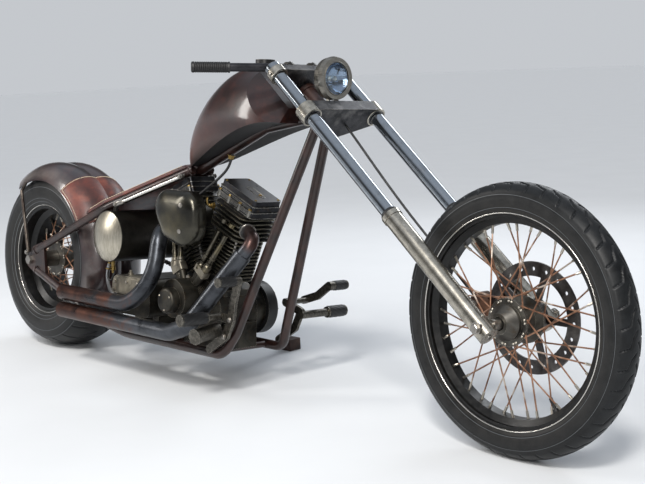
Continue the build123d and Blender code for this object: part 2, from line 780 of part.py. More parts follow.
def fender_profile(gap, wall, edge):
    """The fender's arched section: X is the distance from the axle, Y the width."""
    outer = FENDER_RADIUS + gap + wall
    side = FENDER_HALF_WIDTH + gap + wall
    inner = FENDER_RADIUS + gap
    inner_side = FENDER_HALF_WIDTH + gap
    with BuildSketch() as section:
        with BuildLine():
            ThreePointArc((edge, side), (outer * 0.972, side * 0.68), (outer, 0))
            ThreePointArc((outer, 0), (outer * 0.972, -side * 0.68), (edge, -side))
            Line((edge, -side), (edge, -inner_side))
            ThreePointArc((edge, -inner_side), (inner * 0.972, -inner_side * 0.68), (inner, 0))
            ThreePointArc((inner, 0), (inner * 0.972, inner_side * 0.68), (edge, inner_side))
            Line((edge, inner_side), (edge, side))
        make_face()
    return section.sketch


def fender_arc(gap, wall, edge, front, back):
    """A stretch of fender between two angles round the rear axle."""
    shell = turned(fender_profile(gap, wall, edge), back - front)
    return Pos(0, 0, REAR_TYRE_RADIUS) * Rot(Y=-back) * shell


def rear_fender():
    """A fender that hugs the rear tyre from behind its top to below its front."""
    shell = fender_arc(0, FENDER_WALL, FENDER_EDGE_RADIUS, FENDER_FRONT, FENDER_BACK)
    wall = FENDER_HALF_WIDTH + FENDER_WALL / 2
    x, z = rail_at_radius(FENDER_EDGE_RADIUS + 1)
    tab = cross_disc(x, z, wall, REAR_HALF_WIDTH, 9)
    return shell + tab + mirrored(tab)


def fender_pad():
    """The leather saddle panel over the fender's front shoulder."""
    return fender_arc(FENDER_WALL + SEAT_GAP, 6, FENDER_EDGE_RADIUS + 6, 27, 60)


def seat_pad():
    """The thin leather seat that lies on the rails."""
    outline = [
        # share of the rails' front run from their bend, half width
        (-0.295, 151),
        (0.0, 149),
        (0.376, 109),
        (0.666, 79),
        (0.94, 48),
    ]
    rail = Vector(SEAT_JOINT_X - SEAT_BEND_X, 0, SEAT_JOINT_Z - SEAT_BEND_Z)
    left = [(share * rail.length, width) for share, width in outline]
    points = [*left, *[(x, -y) for x, y in reversed(left)]]
    run = rail.normalized()
    lift = Vector(-run.Z, 0, run.X)
    origin = Vector(SEAT_BEND_X, 0, SEAT_BEND_Z) + lift * (SEAT_RAIL_RADIUS + SEAT_GAP)
    plane = Plane(origin=origin, x_dir=run, z_dir=lift)
    return extrude(plane * make_face(Polyline(*points, close=True)), amount=SEAT_THICKNESS)


def fender_stay():
    """Left stay from the axle plate up to the fender's back edge."""
    foot_side = REAR_HALF_WIDTH + PLATE_THICKNESS / 2 + 6.2
    angle = math.radians(STAY_ANGLE)
    out = Vector(math.cos(angle), 0, math.sin(angle))
    axle = Vector(0, 0, REAR_TYRE_RADIUS)
    head = axle + out * (FENDER_EDGE_RADIUS + 1) + Vector(0, 126, 0)
    bend = head - out * 29 + Vector(8, 27, 0)
    return bent_bar([(-4, foot_side, REAR_TYRE_RADIUS + 28), bend, head], 6, 16)


def seat_strut():
    """Left polished strut along the seat rail, with its two end fittings."""
    offset = Vector(0, STRUT_SIDE, -STRUT_DROP)
    rear = seat_rail_point(0.2)
    front = seat_rail_point(0.93)
    run = (front - rear).normalized()
    strut = rod(rear + offset, front + offset, STRUT_RADIUS)
    strut += rod(rear + offset - run * 6, rear + offset + run * 30, STRUT_RADIUS + 4)
    strut += rod(front + offset - run * 10, front + offset + run * 4, STRUT_RADIUS + 2)
    for end in (rear, front):
        strut += rod(end + offset, end, 4)
    return strut


def oil_tank():
    """A drum across the frame with domed ends, hung from the seat rails."""
    tip = OIL_TANK_HALF_WIDTH + OIL_TANK_DOME
    out, rise = dome_middle(OIL_TANK_RADIUS, OIL_TANK_DOME)
    bulge = (out, OIL_TANK_HALF_WIDTH + rise)
    with BuildSketch() as section:
        with BuildLine():
            Line((0, -tip), (0, tip))
            ThreePointArc((0, tip), bulge, (OIL_TANK_RADIUS, OIL_TANK_HALF_WIDTH))
            Line((OIL_TANK_RADIUS, OIL_TANK_HALF_WIDTH), (OIL_TANK_RADIUS, -OIL_TANK_HALF_WIDTH))
            ThreePointArc(
                (OIL_TANK_RADIUS, -OIL_TANK_HALF_WIDTH), (bulge[0], -bulge[1]), (0, -tip)
            )
        make_face()
    tank = Pos(OIL_TANK_X, 0, OIL_TANK_Z) * turned(section.sketch)
    hanger_top = seat_rail_point((OIL_TANK_X - SEAT_BEND_X) / (SEAT_JOINT_X - SEAT_BEND_X))
    foot = Vector(hanger_top.X, hanger_top.Y, OIL_TANK_Z + OIL_TANK_RADIUS - 4)
    hanger = rod(foot, hanger_top, 8)
    return tank + hanger + mirrored(hanger)


# Engine and drive


def cylinder_plane(lean):
    """Axes of one cylinder: Z up the bore from the crank, X ahead."""
    angle = math.radians(lean)
    return Plane(
        origin=(CRANK_X, 0, CRANK_Z),
        x_dir=(math.cos(angle), 0, -math.sin(angle)),
        z_dir=(math.sin(angle), 0, math.cos(angle)),
    )


def slab(length, width, base, height, corner):
    """A flat block with rounded corners."""
    return extrude(Pos(0, 0, base) * RectangleRounded(length, width, corner), amount=height)


def cylinder_and_head(lean):
    """One finned barrel with its finned head."""
    body = upright(0, 0, BARREL_BASE, BARREL_TOP - BARREL_BASE, BARREL_RADIUS)
    pitch = (BARREL_TOP - BARREL_BASE - 26) / BARREL_FINS
    for index in range(BARREL_FINS):
        body += slab(132, 132, BARREL_BASE + 28 + index * pitch, FIN_THICKNESS, 34)
    body += slab(120, 116, BARREL_TOP, HEAD_TOP - BARREL_TOP, 20)
    pitch = (HEAD_TOP - BARREL_TOP) / HEAD_FINS
    for index in range(HEAD_FINS):
        body += slab(164, 150, BARREL_TOP + index * pitch, FIN_THICKNESS, 30)
    near = Align.MIN if lean > 0 else Align.MAX
    own_side = Pos(CRANK_X + math.copysign(1, lean), 0, CRANK_Z) * Box(
        400, 400, 1000, align=(near, Align.CENTER, Align.CENTER)
    )
    return (cylinder_plane(lean).location * body) & own_side


def rocker_box(lean):
    """The layered cover on a head."""
    layer = (ROCKER_TOP - HEAD_TOP) / 3
    box = slab(186, 122, HEAD_TOP, layer, 14)
    box += slab(180, 116, HEAD_TOP + layer, layer, 14)
    box += slab(174, 110, HEAD_TOP + 2 * layer, layer, 14)
    return cylinder_plane(lean).location * box


def crankcase():
    """The crankcase as a solid block with two decks, mounting feet and its left spacer."""
    case = cross_disc(CRANK_X, CRANK_Z, -CASE_HALF_WIDTH, CASE_HALF_WIDTH, CASE_RADIUS)
    case += cross_disc(CRANK_X, CRANK_Z, CASE_HALF_WIDTH, PRIMARY_SIDE, CRANK_SPACER_RADIUS)
    for lean in (V_HALF_ANGLE, -V_HALF_ANGLE):
        deck = slab(130, 128, 40, BARREL_BASE - 40, 20)
        case += cylinder_plane(lean).location * deck
    for x in CROSS_MEMBERS_X[:2]:
        case += mount_lug(x, CASE_HALF_WIDTH - 10, CRANK_Z - 25)
    return case


def cam_cover():
    """The cam cover on the right of the case: flange, barrel, round nose, tappet blocks."""
    flange_end = CASE_HALF_WIDTH + CAM_FLANGE
    barrel_end = CASE_HALF_WIDTH + CAM_DEPTH
    nose_end = barrel_end + CAM_NOSE_DEPTH
    circles = [Pos(CAM_X, CAM_Z) * Circle(CAM_RADIUS + 6), Pos(CAM_X + 54, CAM_Z) * Circle(18)]
    outline = make_hull([edge for circle in circles for edge in circle.edges()])
    plane = Plane(origin=(0, -CASE_HALF_WIDTH, 0), x_dir=(1, 0, 0), z_dir=(0, -1, 0))
    cover = extrude(plane * outline, amount=CAM_FLANGE)
    cover += cross_disc(CAM_X, CAM_Z, -flange_end, -barrel_end, CAM_RADIUS)
    nose = cross_disc(CAM_X - 3, CAM_Z - 6, -barrel_end, -nose_end, CAM_NOSE_RADIUS)
    cover += fillet(nose.edges().sort_by(Axis.Y)[0], 9)
    middle = Vector(CAM_X, -TUBE_FOOT_SIDE, CAM_Z)
    for foot_x, foot_z, _, _ in PUSHROD_TUBES:
        foot = Vector(foot_x, -TUBE_FOOT_SIDE, foot_z)
        cover += rod(middle + (foot - middle) * 0.45, foot, TUBE_RADIUS + 4)
    return cover


def pushrod_tubes():
    """Two tubes up to the underside of each head."""
    tubes = []
    for foot_x, foot_z, head_x, head_z in PUSHROD_TUBES:
        lean = V_HALF_ANGLE if head_x > foot_x else -V_HALF_ANGLE
        above = cylinder_plane(lean).location * Pos(0, 0, BARREL_TOP) * Box(
            600, 600, 300, align=(Align.CENTER, Align.CENTER, Align.MIN)
        )
        foot = (foot_x, -TUBE_FOOT_SIDE, foot_z)
        tubes.append(rod(foot, (head_x, -TUBE_HEAD_SIDE, head_z), TUBE_RADIUS) - above)
    return Compound(children=[solid for tube in tubes for solid in tube.solids()])


def air_cleaner():
    """A rounded, lopsided cover on the right of the carburettor."""
    lobes = [(-52, 25, 58), (48, 20, 60), (38, -27, 72), (-18, -20, 64)]
    circles = [Pos(x, z) * Circle(radius) for x, z, radius in lobes]
    outline = make_hull([edge for circle in circles for edge in circle.edges()])
    plane = Plane(origin=(INTAKE_X, -CLEANER_SIDE, INTAKE_Z), x_dir=(1, 0, 0), z_dir=(0, -1, 0))
    cover = extrude(plane * outline, amount=CLEANER_DEPTH)
    return fillet(cover.faces().sort_by(Axis.Y)[0].edges(), 26)


def carburettor():
    """Carburettor body and the manifold between the two heads."""
    body = cross_disc(INTAKE_X, INTAKE_Z, -CLEANER_SIDE, -38, 32)
    return body + Pos(CRANK_X, 0, INTAKE_Z) * Box(118, 80, 44)


def gearbox():
    """Gearbox case behind the engine, with its feet, clutch shaft and output sprocket."""
    middle = (GEARBOX_LEFT - GEARBOX_RIGHT) / 2
    width = GEARBOX_LEFT + GEARBOX_RIGHT
    case = Pos(GEARBOX_X, middle, GEARBOX_Z) * Box(GEARBOX_LENGTH, width, GEARBOX_HEIGHT)
    case = fillet(case.edges().filter_by(Axis.Y), 24)
    for x in CROSS_MEMBERS_X[2:]:
        case += mount_lug(x, 60, GEARBOX_Z - GEARBOX_HEIGHT / 2 + 1)
    case += cross_disc(GEAR_SHAFT_X, GEARBOX_Z, GEARBOX_LEFT, PRIMARY_SIDE, GEAR_SHAFT_RADIUS)
    wheel = Pos(GEAR_SHAFT_X, CHAIN_SIDE, GEARBOX_Z) * sprocket(FRONT_SPROCKET_RADIUS, 12)
    return case + wheel


def primary_case():
    """The primary drive cover on the left, from crank to clutch."""
    front = Pos(CRANK_X, CRANK_Z) * Circle(88)
    rear = Pos(GEAR_SHAFT_X, GEARBOX_Z) * Circle(98)
    outline = make_hull([*front.edges(), *rear.edges()])
    plane = Plane(origin=(0, PRIMARY_SIDE, 0), x_dir=(1, 0, 0), z_dir=(0, -1, 0))
    cover = extrude(plane * outline, amount=-PRIMARY_THICKNESS)
    cover = fillet(cover.faces().sort_by(Axis.Y)[-1].edges(), 12)
    face = PRIMARY_SIDE + PRIMARY_THICKNESS
    return cover + cross_disc(GEAR_SHAFT_X, GEARBOX_Z, face - 1, face + 5, CLUTCH_COVER_RADIUS)


def drive_chain():
    """The final chain as one loop round its two sprockets, waisted between its pins."""
    sprockets = [
        Pos(GEAR_SHAFT_X, GEARBOX_Z) * Circle(FRONT_SPROCKET_RADIUS),
        Pos(0, REAR_TYRE_RADIUS) * Circle(REAR_SPROCKET_RADIUS),
    ]
    loop = make_hull([edge for circle in sprockets for edge in circle.edges()])
    pins = offset(loop, CHAIN_GAP + CHAIN_DEPTH / 2).wire()
    steps = 2 * round(pins.length / CHAIN_PITCH)
    inner = []
    outer = []
    for index in range(steps):
        place = pins @ (index / steps)
        along = pins % (index / steps)
        across = Vector(along.Y, -along.X) * (CHAIN_WAIST if index % 2 else CHAIN_DEPTH) / 2
        outer.append(place + across)
        inner.append(place - across)
    rings = [make_face(Polyline(*ring, close=True)) for ring in (outer, inner)]
    rings.sort(key=lambda ring: ring.area)
    band = rings[1] - rings[0]
    plane = Plane(origin=(0, CHAIN_SIDE, 0), x_dir=(1, 0, 0), z_dir=(0, -1, 0))
    return extrude(plane * band, amount=CHAIN_WIDTH / 2, both=True)


def pipe_bore(end):
    """What hollows the last stretch of a pipe that runs straight back to its open end."""
    return rod(end, Vector(*end) + Vector(60, 0, 0), PIPE_RADIUS - PIPE_WALL)


def front_exhaust():
    """From the front head's port down and back along the right side."""
    port = Vector(1100, -50, 512)
    elbow = Vector(1196, -98, 486)
    low = Vector(1022, -PIPE_SIDE, 214)
    end = (LOWER_PIPE_END, -PIPE_SIDE, LOWER_PIPE_Z)
    bend = (930, -PIPE_SIDE, LOWER_PIPE_Z)
    run = low - elbow
    header = bent_bar([port, elbow, elbow + run * 0.22], HEADER_RADIUS, 30)
    sleeve = bent_bar([end, bend, low, elbow + run * 0.16], PIPE_RADIUS, [90, 80])
    return header + sleeve - pipe_bore(end)


def rear_exhaust():
    """From the rear head's port down and back above the front pipe."""
    end = (UPPER_PIPE_END, -PIPE_SIDE, UPPER_PIPE_Z)
    points = [
        end,
        (828, -PIPE_SIDE, UPPER_PIPE_Z),
        (792, -150, 478),
        (712, -52, 502),
    ]
    return bent_bar(points, PIPE_RADIUS, [150, 60]) - pipe_bore(end)


# Controls and stand


def flat_bar(route, radius, side):
    """A flat bar in an upright plane along the bike, its inner face at the given side."""
    plane = Plane(origin=(0, side, 0), x_dir=(1, 0, 0), z_dir=(0, -1, 0))
    bar = None
    for start, end in zip(route, route[1:]):
        circles = [Pos(*start) * Circle(radius), Pos(*end) * Circle(radius)]
        outline = make_hull([edge for circle in circles for edge in circle.edges()])
        link = extrude(plane * outline, amount=-math.copysign(CONTROL_THICKNESS, side))
        bar = link if bar is None else bar + link
    return bar


def peg(x, z, root, grip, end, shaft_radius, radius):
    """A peg straight out from the bike, with its rubber sleeve."""
    return cross_disc(x, z, root, grip, shaft_radius) + cross_disc(x, z, grip, end, radius)


def right_controls():
    """Right footpeg, brake pedal and master cylinder on their bracket."""
    side = -(RAIL_HALF_WIDTH + FRAME_TUBE_RADIUS + SEAT_GAP)
    plate = flat_bar(BRACKET_ROUTE, CONTROL_RADIUS, side)
    arm = flat_bar([(1178, 366), (1158, 300), BRACKET_ROUTE[0]], CONTROL_RADIUS, side)
    foot = peg(1100, 250, side, -200, -300, PEG_SHAFT_RADIUS, PEG_RADIUS)
    foot += flat_bar([(1100, 250), BRACKET_ROUTE[0]], CONTROL_RADIUS, side)
    pedal = peg(1178, 366, side, -152, -222, PEDAL_RADIUS, PEDAL_RADIUS)
    barrel = rod((1080, side - 3, 206), (1090, -235, 194), 22)
    ring = rod((1089, -227, 195), (1090, -236, 194), 24)
    return plate + arm + foot + pedal + barrel + ring


def left_controls():
    """Left footpeg on its bracket and the gear lever on its long shaft."""
    side = RAIL_HALF_WIDTH + FRAME_TUBE_RADIUS + SEAT_GAP
    plate = flat_bar(BRACKET_ROUTE, CONTROL_RADIUS, side)
    foot = peg(1156, 236, side, 250, 330, PEG_SHAFT_RADIUS, PEG_RADIUS)
    shaft = cross_disc(1078, 268, side, 240, 9)
    plate += flat_bar([(1078, 268), BRACKET_ROUTE[0]], CONTROL_RADIUS, side)
    lever = flat_bar([(1060, 266), (1124, 287), (1172, 322)], CONTROL_RADIUS, 235)
    toe = peg(1178, 324, 235, 252, 314, PEDAL_RADIUS, PEDAL_RADIUS)
    return plate + foot + shaft + lever + toe


def stand_plane():
    """Axes of the stand's hinge: the pivot, Z along the pin."""
    return Plane(origin=STAND_PIVOT, x_dir=(0, 1, 0), z_dir=stand_axis())


def stand_lug():
    """The lug on the left rail over the stand's eye, with the pin and its head."""
    half = STAND_EYE_HEIGHT / 2 + STAND_GAP
    lug = upright(0, 0, half, STAND_LUG_THICKNESS, STAND_EYE_RADIUS)
    web = Pos(-20, 0, half) * Box(
        44, 30, STAND_LUG_THICKNESS, align=(Align.CENTER, Align.CENTER, Align.MIN)
    )
    pin = upright(0, 0, -half, 2 * half, STAND_PIN_RADIUS)
    head = upright(0, 0, -half - 5, 5, STAND_PIN_RADIUS + 4)
    return stand_plane().location * (lug + web + pin + head)


def side_stand():
    """A leg with a deep square foot and an eye for its pin."""
    pivot = Vector(*STAND_PIVOT)
    foot = Vector(*STAND_FOOT)
    lean = math.radians(PARKED_LEAN)
    up = Vector(0, -math.sin(lean), math.cos(lean))
    block = Plane(origin=foot, z_dir=up) * Box(
        STAND_FOOT_SIZE,
        STAND_FOOT_SIZE,
        STAND_FOOT_HEIGHT,
        align=(Align.CENTER, Align.CENTER, Align.MIN),
    )
    leg = rod(pivot, foot + up * (STAND_FOOT_HEIGHT / 2), STAND_RADIUS)
    eye = Cylinder(STAND_EYE_RADIUS, STAND_EYE_HEIGHT)
    bore = Cylinder(STAND_PIN_RADIUS + RUNNING_GAP, 2 * STAND_EYE_HEIGHT)
    hinge = stand_plane().location
    return leg + fillet(block.edges(), 3) + hinge * eye - hinge * bore


def stand_axis():
    """The stand's hinge axis, square to its leg and tipped so its load shuts it."""
    leg = (Vector(*STAND_FOOT) - Vector(*STAND_PIVOT)).normalized()
    height = 1.0
    across = (STAND_TILT * leg.X - height * leg.Z) / leg.Y
    return Vector(-STAND_TILT, across, height).normalized()


# Assembly


def at_front(shape):
    """Put a wheel piece on the front axle."""
    return Pos(WHEELBASE, 0, FRONT_TYRE_RADIUS) * shape


def at_rear(shape):
    """Put a wheel piece on the rear axle."""
    return Pos(0, 0, REAR_TYRE_RADIUS) * shape


def front_wheel_parts():
    """The front wheel's pieces, round the origin."""
    well = FRONT_BEAD_RADIUS - FRONT_RIM_DEPTH - RIM_WALL
    return {
        "front_tyre": tyre(
            FRONT_TYRE_RADIUS, FRONT_TYRE_WIDTH, FRONT_BEAD_RADIUS, FRONT_RIM_WIDTH
        ),
        "front_rim": rim(
            FRONT_BEAD_RADIUS, FRONT_FLANGE_RADIUS, FRONT_RIM_WIDTH, FRONT_RIM_DEPTH
        ),
        "front_hub": hub(
            FRONT_HUB_RADIUS, FRONT_HUB_FLANGE_RADIUS, FRONT_HUB_WIDTH, FRONT_HUB_DOME
        ),
        "front_spokes": spokes(
            FRONT_SPOKES, FRONT_HUB_FLANGE_RADIUS, FRONT_HUB_WIDTH, well, 6
        ),
        "front_brake_disc": brake_disc(),
    }


def rear_wheel_parts():
    """The rear wheel's pieces, round the origin."""
    well = REAR_BEAD_RADIUS - REAR_RIM_DEPTH - RIM_WALL
    carrier = cross_disc(0, 0, REAR_HUB_WIDTH / 2, CHAIN_SIDE, 4 * AXLE_RADIUS)
    wheel = Pos(0, CHAIN_SIDE, 0) * sprocket(REAR_SPROCKET_RADIUS, 24)
    bore = cross_disc(0, 0, 0, 2 * CHAIN_SIDE, AXLE_RADIUS + RUNNING_GAP)
    return {
        "rear_tyre": tyre(REAR_TYRE_RADIUS, REAR_TYRE_WIDTH, REAR_BEAD_RADIUS, REAR_RIM_WIDTH),
        "rear_rim": rim(REAR_BEAD_RADIUS, REAR_FLANGE_RADIUS, REAR_RIM_WIDTH, REAR_RIM_DEPTH),
        "rear_hub": hub(REAR_HUB_RADIUS, REAR_HUB_FLANGE_RADIUS, REAR_HUB_WIDTH),
        "rear_spokes": spokes(REAR_SPOKES, REAR_HUB_FLANGE_RADIUS, REAR_HUB_WIDTH, well, 14),
        "rear_sprocket": carrier + wheel - bore,
    }


def steering_parts():
    """What turns with the fork, steered straight."""
    return {
        "lower_yoke": lower_yoke(),
        "upper_yoke": upper_yoke(),
        "fork_tubes": both(fork_tube()),
        "fork_sliders": both(slider()),
        "front_axle": front_axle(),
        "handlebar": handlebar(),
        "grips": both(grip()),
        "lamp_shell": lamp_shell() + lamp_bracket(),
        "lamp_lens": lamp_lens(),
        "brake_caliper": caliper(),
    }


def frame_parts():
    """The frame with everything fixed to it."""
    return {
        "head_tube": head_tube(),
        "backbone": backbone(),
        "axle_plates": both(axle_plate()),
        "cradle_tubes": cradle_tubes(),
        "seat_rails": both(seat_rail()),
        "cross_members": cross_members(),
        "rear_axle": rear_axle(),
        "fuel_tank": fuel_tank(),
        "filler_cap": filler_cap(),
        "rear_fender": rear_fender(),
        "fender_pad": fender_pad(),
        "seat_pad": seat_pad(),
        "fender_stays": both(fender_stay()),
        "seat_struts": both(seat_strut()),
        "oil_tank": oil_tank(),
        "crankcase": crankcase(),
        "cylinders": v_pair(cylinder_and_head),
        "rocker_boxes": v_pair(rocker_box),
        "cam_cover": cam_cover(),
        "pushrod_tubes": pushrod_tubes(),
        "air_cleaner": air_cleaner(),
        "carburettor": carburettor(),
        "gearbox": gearbox(),
        "primary_case": primary_case(),
        "drive_chain": drive_chain(),
        "exhaust_pipes": Compound(
            children=[*front_exhaust().solids(), *rear_exhaust().solids()]
        ),
        "foot_controls": Compound(
            children=[*right_controls().solids(), *left_controls().solids()]
        ),
    }


def v_pair(make):
    """A piece of the front cylinder and the same of the rear one, as one node."""
    front = make(V_HALF_ANGLE)
    rear = make(-V_HALF_ANGLE)
    return Compound(children=[*front.solids(), *rear.solids()])


def stand_parts():
    """The side stand, down."""
    return {"side_stand": side_stand()}


def brake_hose():
    """The brake hose from the lower yoke down behind the left fork leg to the caliper."""
    path = FilletPolyline(*HOSE_ROUTE, radius=hose_radii())
    tube = sweep(Plane(origin=path @ 0, z_dir=path % 0) * Circle(HOSE_RADIUS), path=path)
    return FORK.location * tube


def hose_radii():
    """Bend radius at each inner point of the hose's route, as large as its runs allow."""
    route = [Vector(*point) for point in HOSE_ROUTE]
    radii = []
    for before, here, after in zip(route, route[1:], route[2:]):
        turn = math.radians((here - before).get_angle(after - here))
        shorter = min((here - before).length, (after - here).length)
        radii.append(0.45 * shorter / math.tan(turn / 2))
    return radii


# What each piece is cut back by, where it seats against or passes through another
FITS = {
    "backbone": ["head_tube"],
    "fuel_tank": ["seat_rails"],
    "cradle_tubes": ["head_tube", "backbone", "axle_plates"],
    "seat_rails": ["axle_plates", "backbone"],
    "rear_fender": ["seat_rails"],
    "fender_pad": ["rear_fender", "seat_rails"],
    "fender_stays": ["rear_fender", "axle_plates"],
    "seat_struts": ["seat_rails"],
    "oil_tank": ["seat_rails"],
    "brake_hose": ["brake_caliper", "lower_yoke"],
    "cross_members": ["cradle_tubes"],
    "crankcase": ["cross_members"],
    "cylinders": ["crankcase"],
    "cam_cover": ["crankcase", "cylinders"],
    "pushrod_tubes": ["cam_cover", "cylinders", "exhaust_pipes"],
    "carburettor": ["air_cleaner", "cylinders"],
    "air_cleaner": ["cylinders"],
    "exhaust_pipes": ["cylinders"],
    "gearbox": ["cross_members"],
    "foot_controls": ["cradle_tubes"],
    "filler_cap": ["fuel_tank"],
    "front_spokes": ["front_hub", "front_rim"],
    "rear_spokes": ["rear_hub", "rear_rim"],
    "front_tyre": ["front_rim"],
    "rear_tyre": ["rear_rim"],
    "lamp_shell": ["lower_yoke", "lamp_lens"],
}


def upright_groups():
    """Every piece by body, upright and steered straight, with the fits cut."""
    steering = steering_parts() | {"brake_hose": brake_hose()}
    groups = {
        "frame": frame_parts(),
        "steering": steering,
        "front_wheel": {name: at_front(piece) for name, piece in front_wheel_parts().items()},
        "rear_wheel": {name: at_rear(piece) for name, piece in rear_wheel_parts().items()},
        "side_stand": stand_parts(),
    }
    for pieces in groups.values():
        for name in pieces:
            for other in FITS.get(name, []):
                pieces[name] = cut_back(pieces[name], pieces[other])
    return groups


def cut_back(piece, other):
    """Cut a piece by its neighbour and drop the offcuts on the neighbour's far side."""
    solids = piece.solids()
    left = ShapeList([rest for solid in solids for rest in (solid - other).solids()])
    return Compound(children=left.sort_by(SortBy.VOLUME)[-len(solids):])


def steering_axis():
    """The steering axis, straight up the head tube."""
    return Axis(fork_point(-AXIS_OFFSET, 0, 0), FORK.z_dir)


def parked_groups():
    """Every piece as it stands parked: steered, then leaned with the whole bike."""
    groups = upright_groups()
    for body in ("steering", "front_wheel"):
        for name, piece in groups[body].items():
            groups[body][name] = piece.rotate(steering_axis(), PARKED_STEER)
    for pieces in groups.values():
        for name, piece in pieces.items():
            pieces[name] = piece.rotate(Axis.X, -PARKED_LEAN)
    return groups


def footprint_shift(groups):
    """The move that puts the bottom centre of the whole bike's box on the origin."""
    boxes = [piece.bounding_box() for pieces in groups.values() for piece in pieces.values()]
    low = [min(tuple(box.min)[axis] for box in boxes) for axis in range(3)]
    high = [max(tuple(box.max)[axis] for box in boxes) for axis in range(3)]
    return Vector(-(low[0] + high[0]) / 2, -(low[1] + high[1]) / 2, -low[2])


def main():
    """Write one file for each piece."""
    groups = parked_groups()
    shift = footprint_shift(groups)
    os.makedirs("parts", exist_ok=True)
    for pieces in groups.values():
        for name, piece in pieces.items():
            export_step(piece.moved(Location(shift)), f"parts/{name}.step")
    print("moved by", tuple(round(value, 3) for value in shift))
    print("hose bend radii", [round(radius) for radius in hose_radii()])


if __name__ == "__main__":
    main()
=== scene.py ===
"""Looks of the long-fork chopper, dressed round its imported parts. Metres."""
import json
import random
from math import acos, atan2, copysign, cos, exp, hypot, pi, radians, sin, sqrt
import bmesh
import bpy
from mathutils import Matrix, Vector


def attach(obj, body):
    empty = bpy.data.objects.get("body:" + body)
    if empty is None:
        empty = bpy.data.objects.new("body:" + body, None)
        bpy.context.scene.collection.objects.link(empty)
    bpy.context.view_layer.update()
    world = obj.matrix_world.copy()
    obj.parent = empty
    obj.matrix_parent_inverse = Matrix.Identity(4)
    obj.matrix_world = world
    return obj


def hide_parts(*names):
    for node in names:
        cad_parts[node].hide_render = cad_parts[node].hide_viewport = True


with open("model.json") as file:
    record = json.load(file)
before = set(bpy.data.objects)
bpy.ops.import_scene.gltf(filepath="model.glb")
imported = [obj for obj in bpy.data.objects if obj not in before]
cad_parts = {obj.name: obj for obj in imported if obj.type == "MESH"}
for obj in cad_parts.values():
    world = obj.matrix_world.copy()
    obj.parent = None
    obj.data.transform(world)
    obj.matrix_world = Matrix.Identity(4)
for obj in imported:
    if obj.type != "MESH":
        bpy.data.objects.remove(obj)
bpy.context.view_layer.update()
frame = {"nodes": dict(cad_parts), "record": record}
nodes = frame["nodes"]
dice = random.Random(7)

# Sizes shared with the solids, in the upright bike's own millimetres
WHEELBASE, FRONT_RADIUS, REAR_RADIUS = 2100, 350, 328
RAKE, LEAN, STEER = radians(50.4), radians(5.35), radians(-2.1)
SHIFT = (-1060.948, -93.891, 0.77)
AXIS_OFFSET = 55
CRANK = (905, 0, 232)
V_HALF_ANGLE = radians(22.5)
TUBE_SPREAD, TUBE_BACK = 125, -9
BAR_X, BAR_Z = -21, 1046
SHAFT = (600, 252)  # x and z of the gearbox shaft, under the clutch
PRIMARY_FACE = 192
OIL_DRUM = (511, 452)
AIR_CLEANER = (899, 545)
RAIL_REAR, RAIL_FRONT = Vector((470, 143, 546)), Vector((815, 34, 686))


def rotation(angle, axis):
    return Matrix.Rotation(angle, 4, axis)


def move(x, y, z):
    return Matrix.Translation((x, y, z))


# Axes of each group: matrices from its own millimetres to the frame's metres
BIKE = Matrix.Scale(0.001, 4) @ move(*SHIFT) @ rotation(-LEAN, "X")
FORK_PLANE = Matrix((
    (cos(RAKE), 0, -sin(RAKE), WHEELBASE),
    (0, 1, 0, 0),
    (sin(RAKE), 0, cos(RAKE), FRONT_RADIUS),
    (0, 0, 0, 1),
))
HEAD = FORK_PLANE @ Vector((-AXIS_OFFSET, 0, 0))
STEERED = BIKE @ move(*HEAD) @ rotation(STEER, FORK_PLANE.col[2].xyz) @ move(*-HEAD)
FORK = STEERED @ FORK_PLANE
FRONT = STEERED @ move(WHEELBASE, 0, FRONT_RADIUS)
REAR = BIKE @ move(0, 0, REAR_RADIUS)
CYLINDERS = [BIKE @ move(*CRANK) @ rotation(a, "Y") for a in (V_HALF_ANGLE, -V_HALF_ANGLE)]
AXLE, FRONT_AXLE = (plane.to_3x3() @ Vector((0, 1000, 0)) for plane in (BIKE, FRONT))
FRONT_CENTRE, REAR_CENTRE = FRONT @ Vector((0, 0, 0)), REAR @ Vector((0, 0, 0))


# Camera, at the photograph's viewing angle
PHOTO_WIDTH, FOCAL_PIXELS, SENSOR = 645, 1174.965, 36


def set_camera():
    """The camera as fitted to the photograph's outlines."""
    yaw, pitch, roll = 2.38353549, 0.15100740, -0.04645284
    ahead = Vector((cos(pitch) * cos(yaw), cos(pitch) * sin(yaw), -sin(pitch)))
    right = Vector((sin(yaw), -cos(yaw), 0))
    up = right.cross(ahead)
    across = right * cos(roll) + up * sin(roll)
    above = up * cos(roll) - right * sin(roll)
    spot = (Vector((3863.9955, -2296.1993, 1009.6932)) + Vector(SHIFT)) * 0.001
    data = bpy.data.cameras.new("camera")
    data.sensor_width = SENSOR
    data.lens = FOCAL_PIXELS / PHOTO_WIDTH * SENSOR
    camera = bpy.data.objects.new("camera", data)
    turn = Matrix((across, above, -ahead)).transposed().to_4x4()
    camera.matrix_world = Matrix.Translation(spot) @ turn
    bpy.context.scene.collection.objects.link(camera)
    bpy.context.scene.camera = camera


set_camera()


# Procedural materials


def colour(code):
    """A linear colour from a hex code."""
    parts = [int(code[i:i + 2], 16) / 255 for i in (0, 2, 4)]
    return [c / 12.92 if c <= 0.04045 else ((c + 0.055) / 1.055) ** 2.4 for c in parts] + [1]


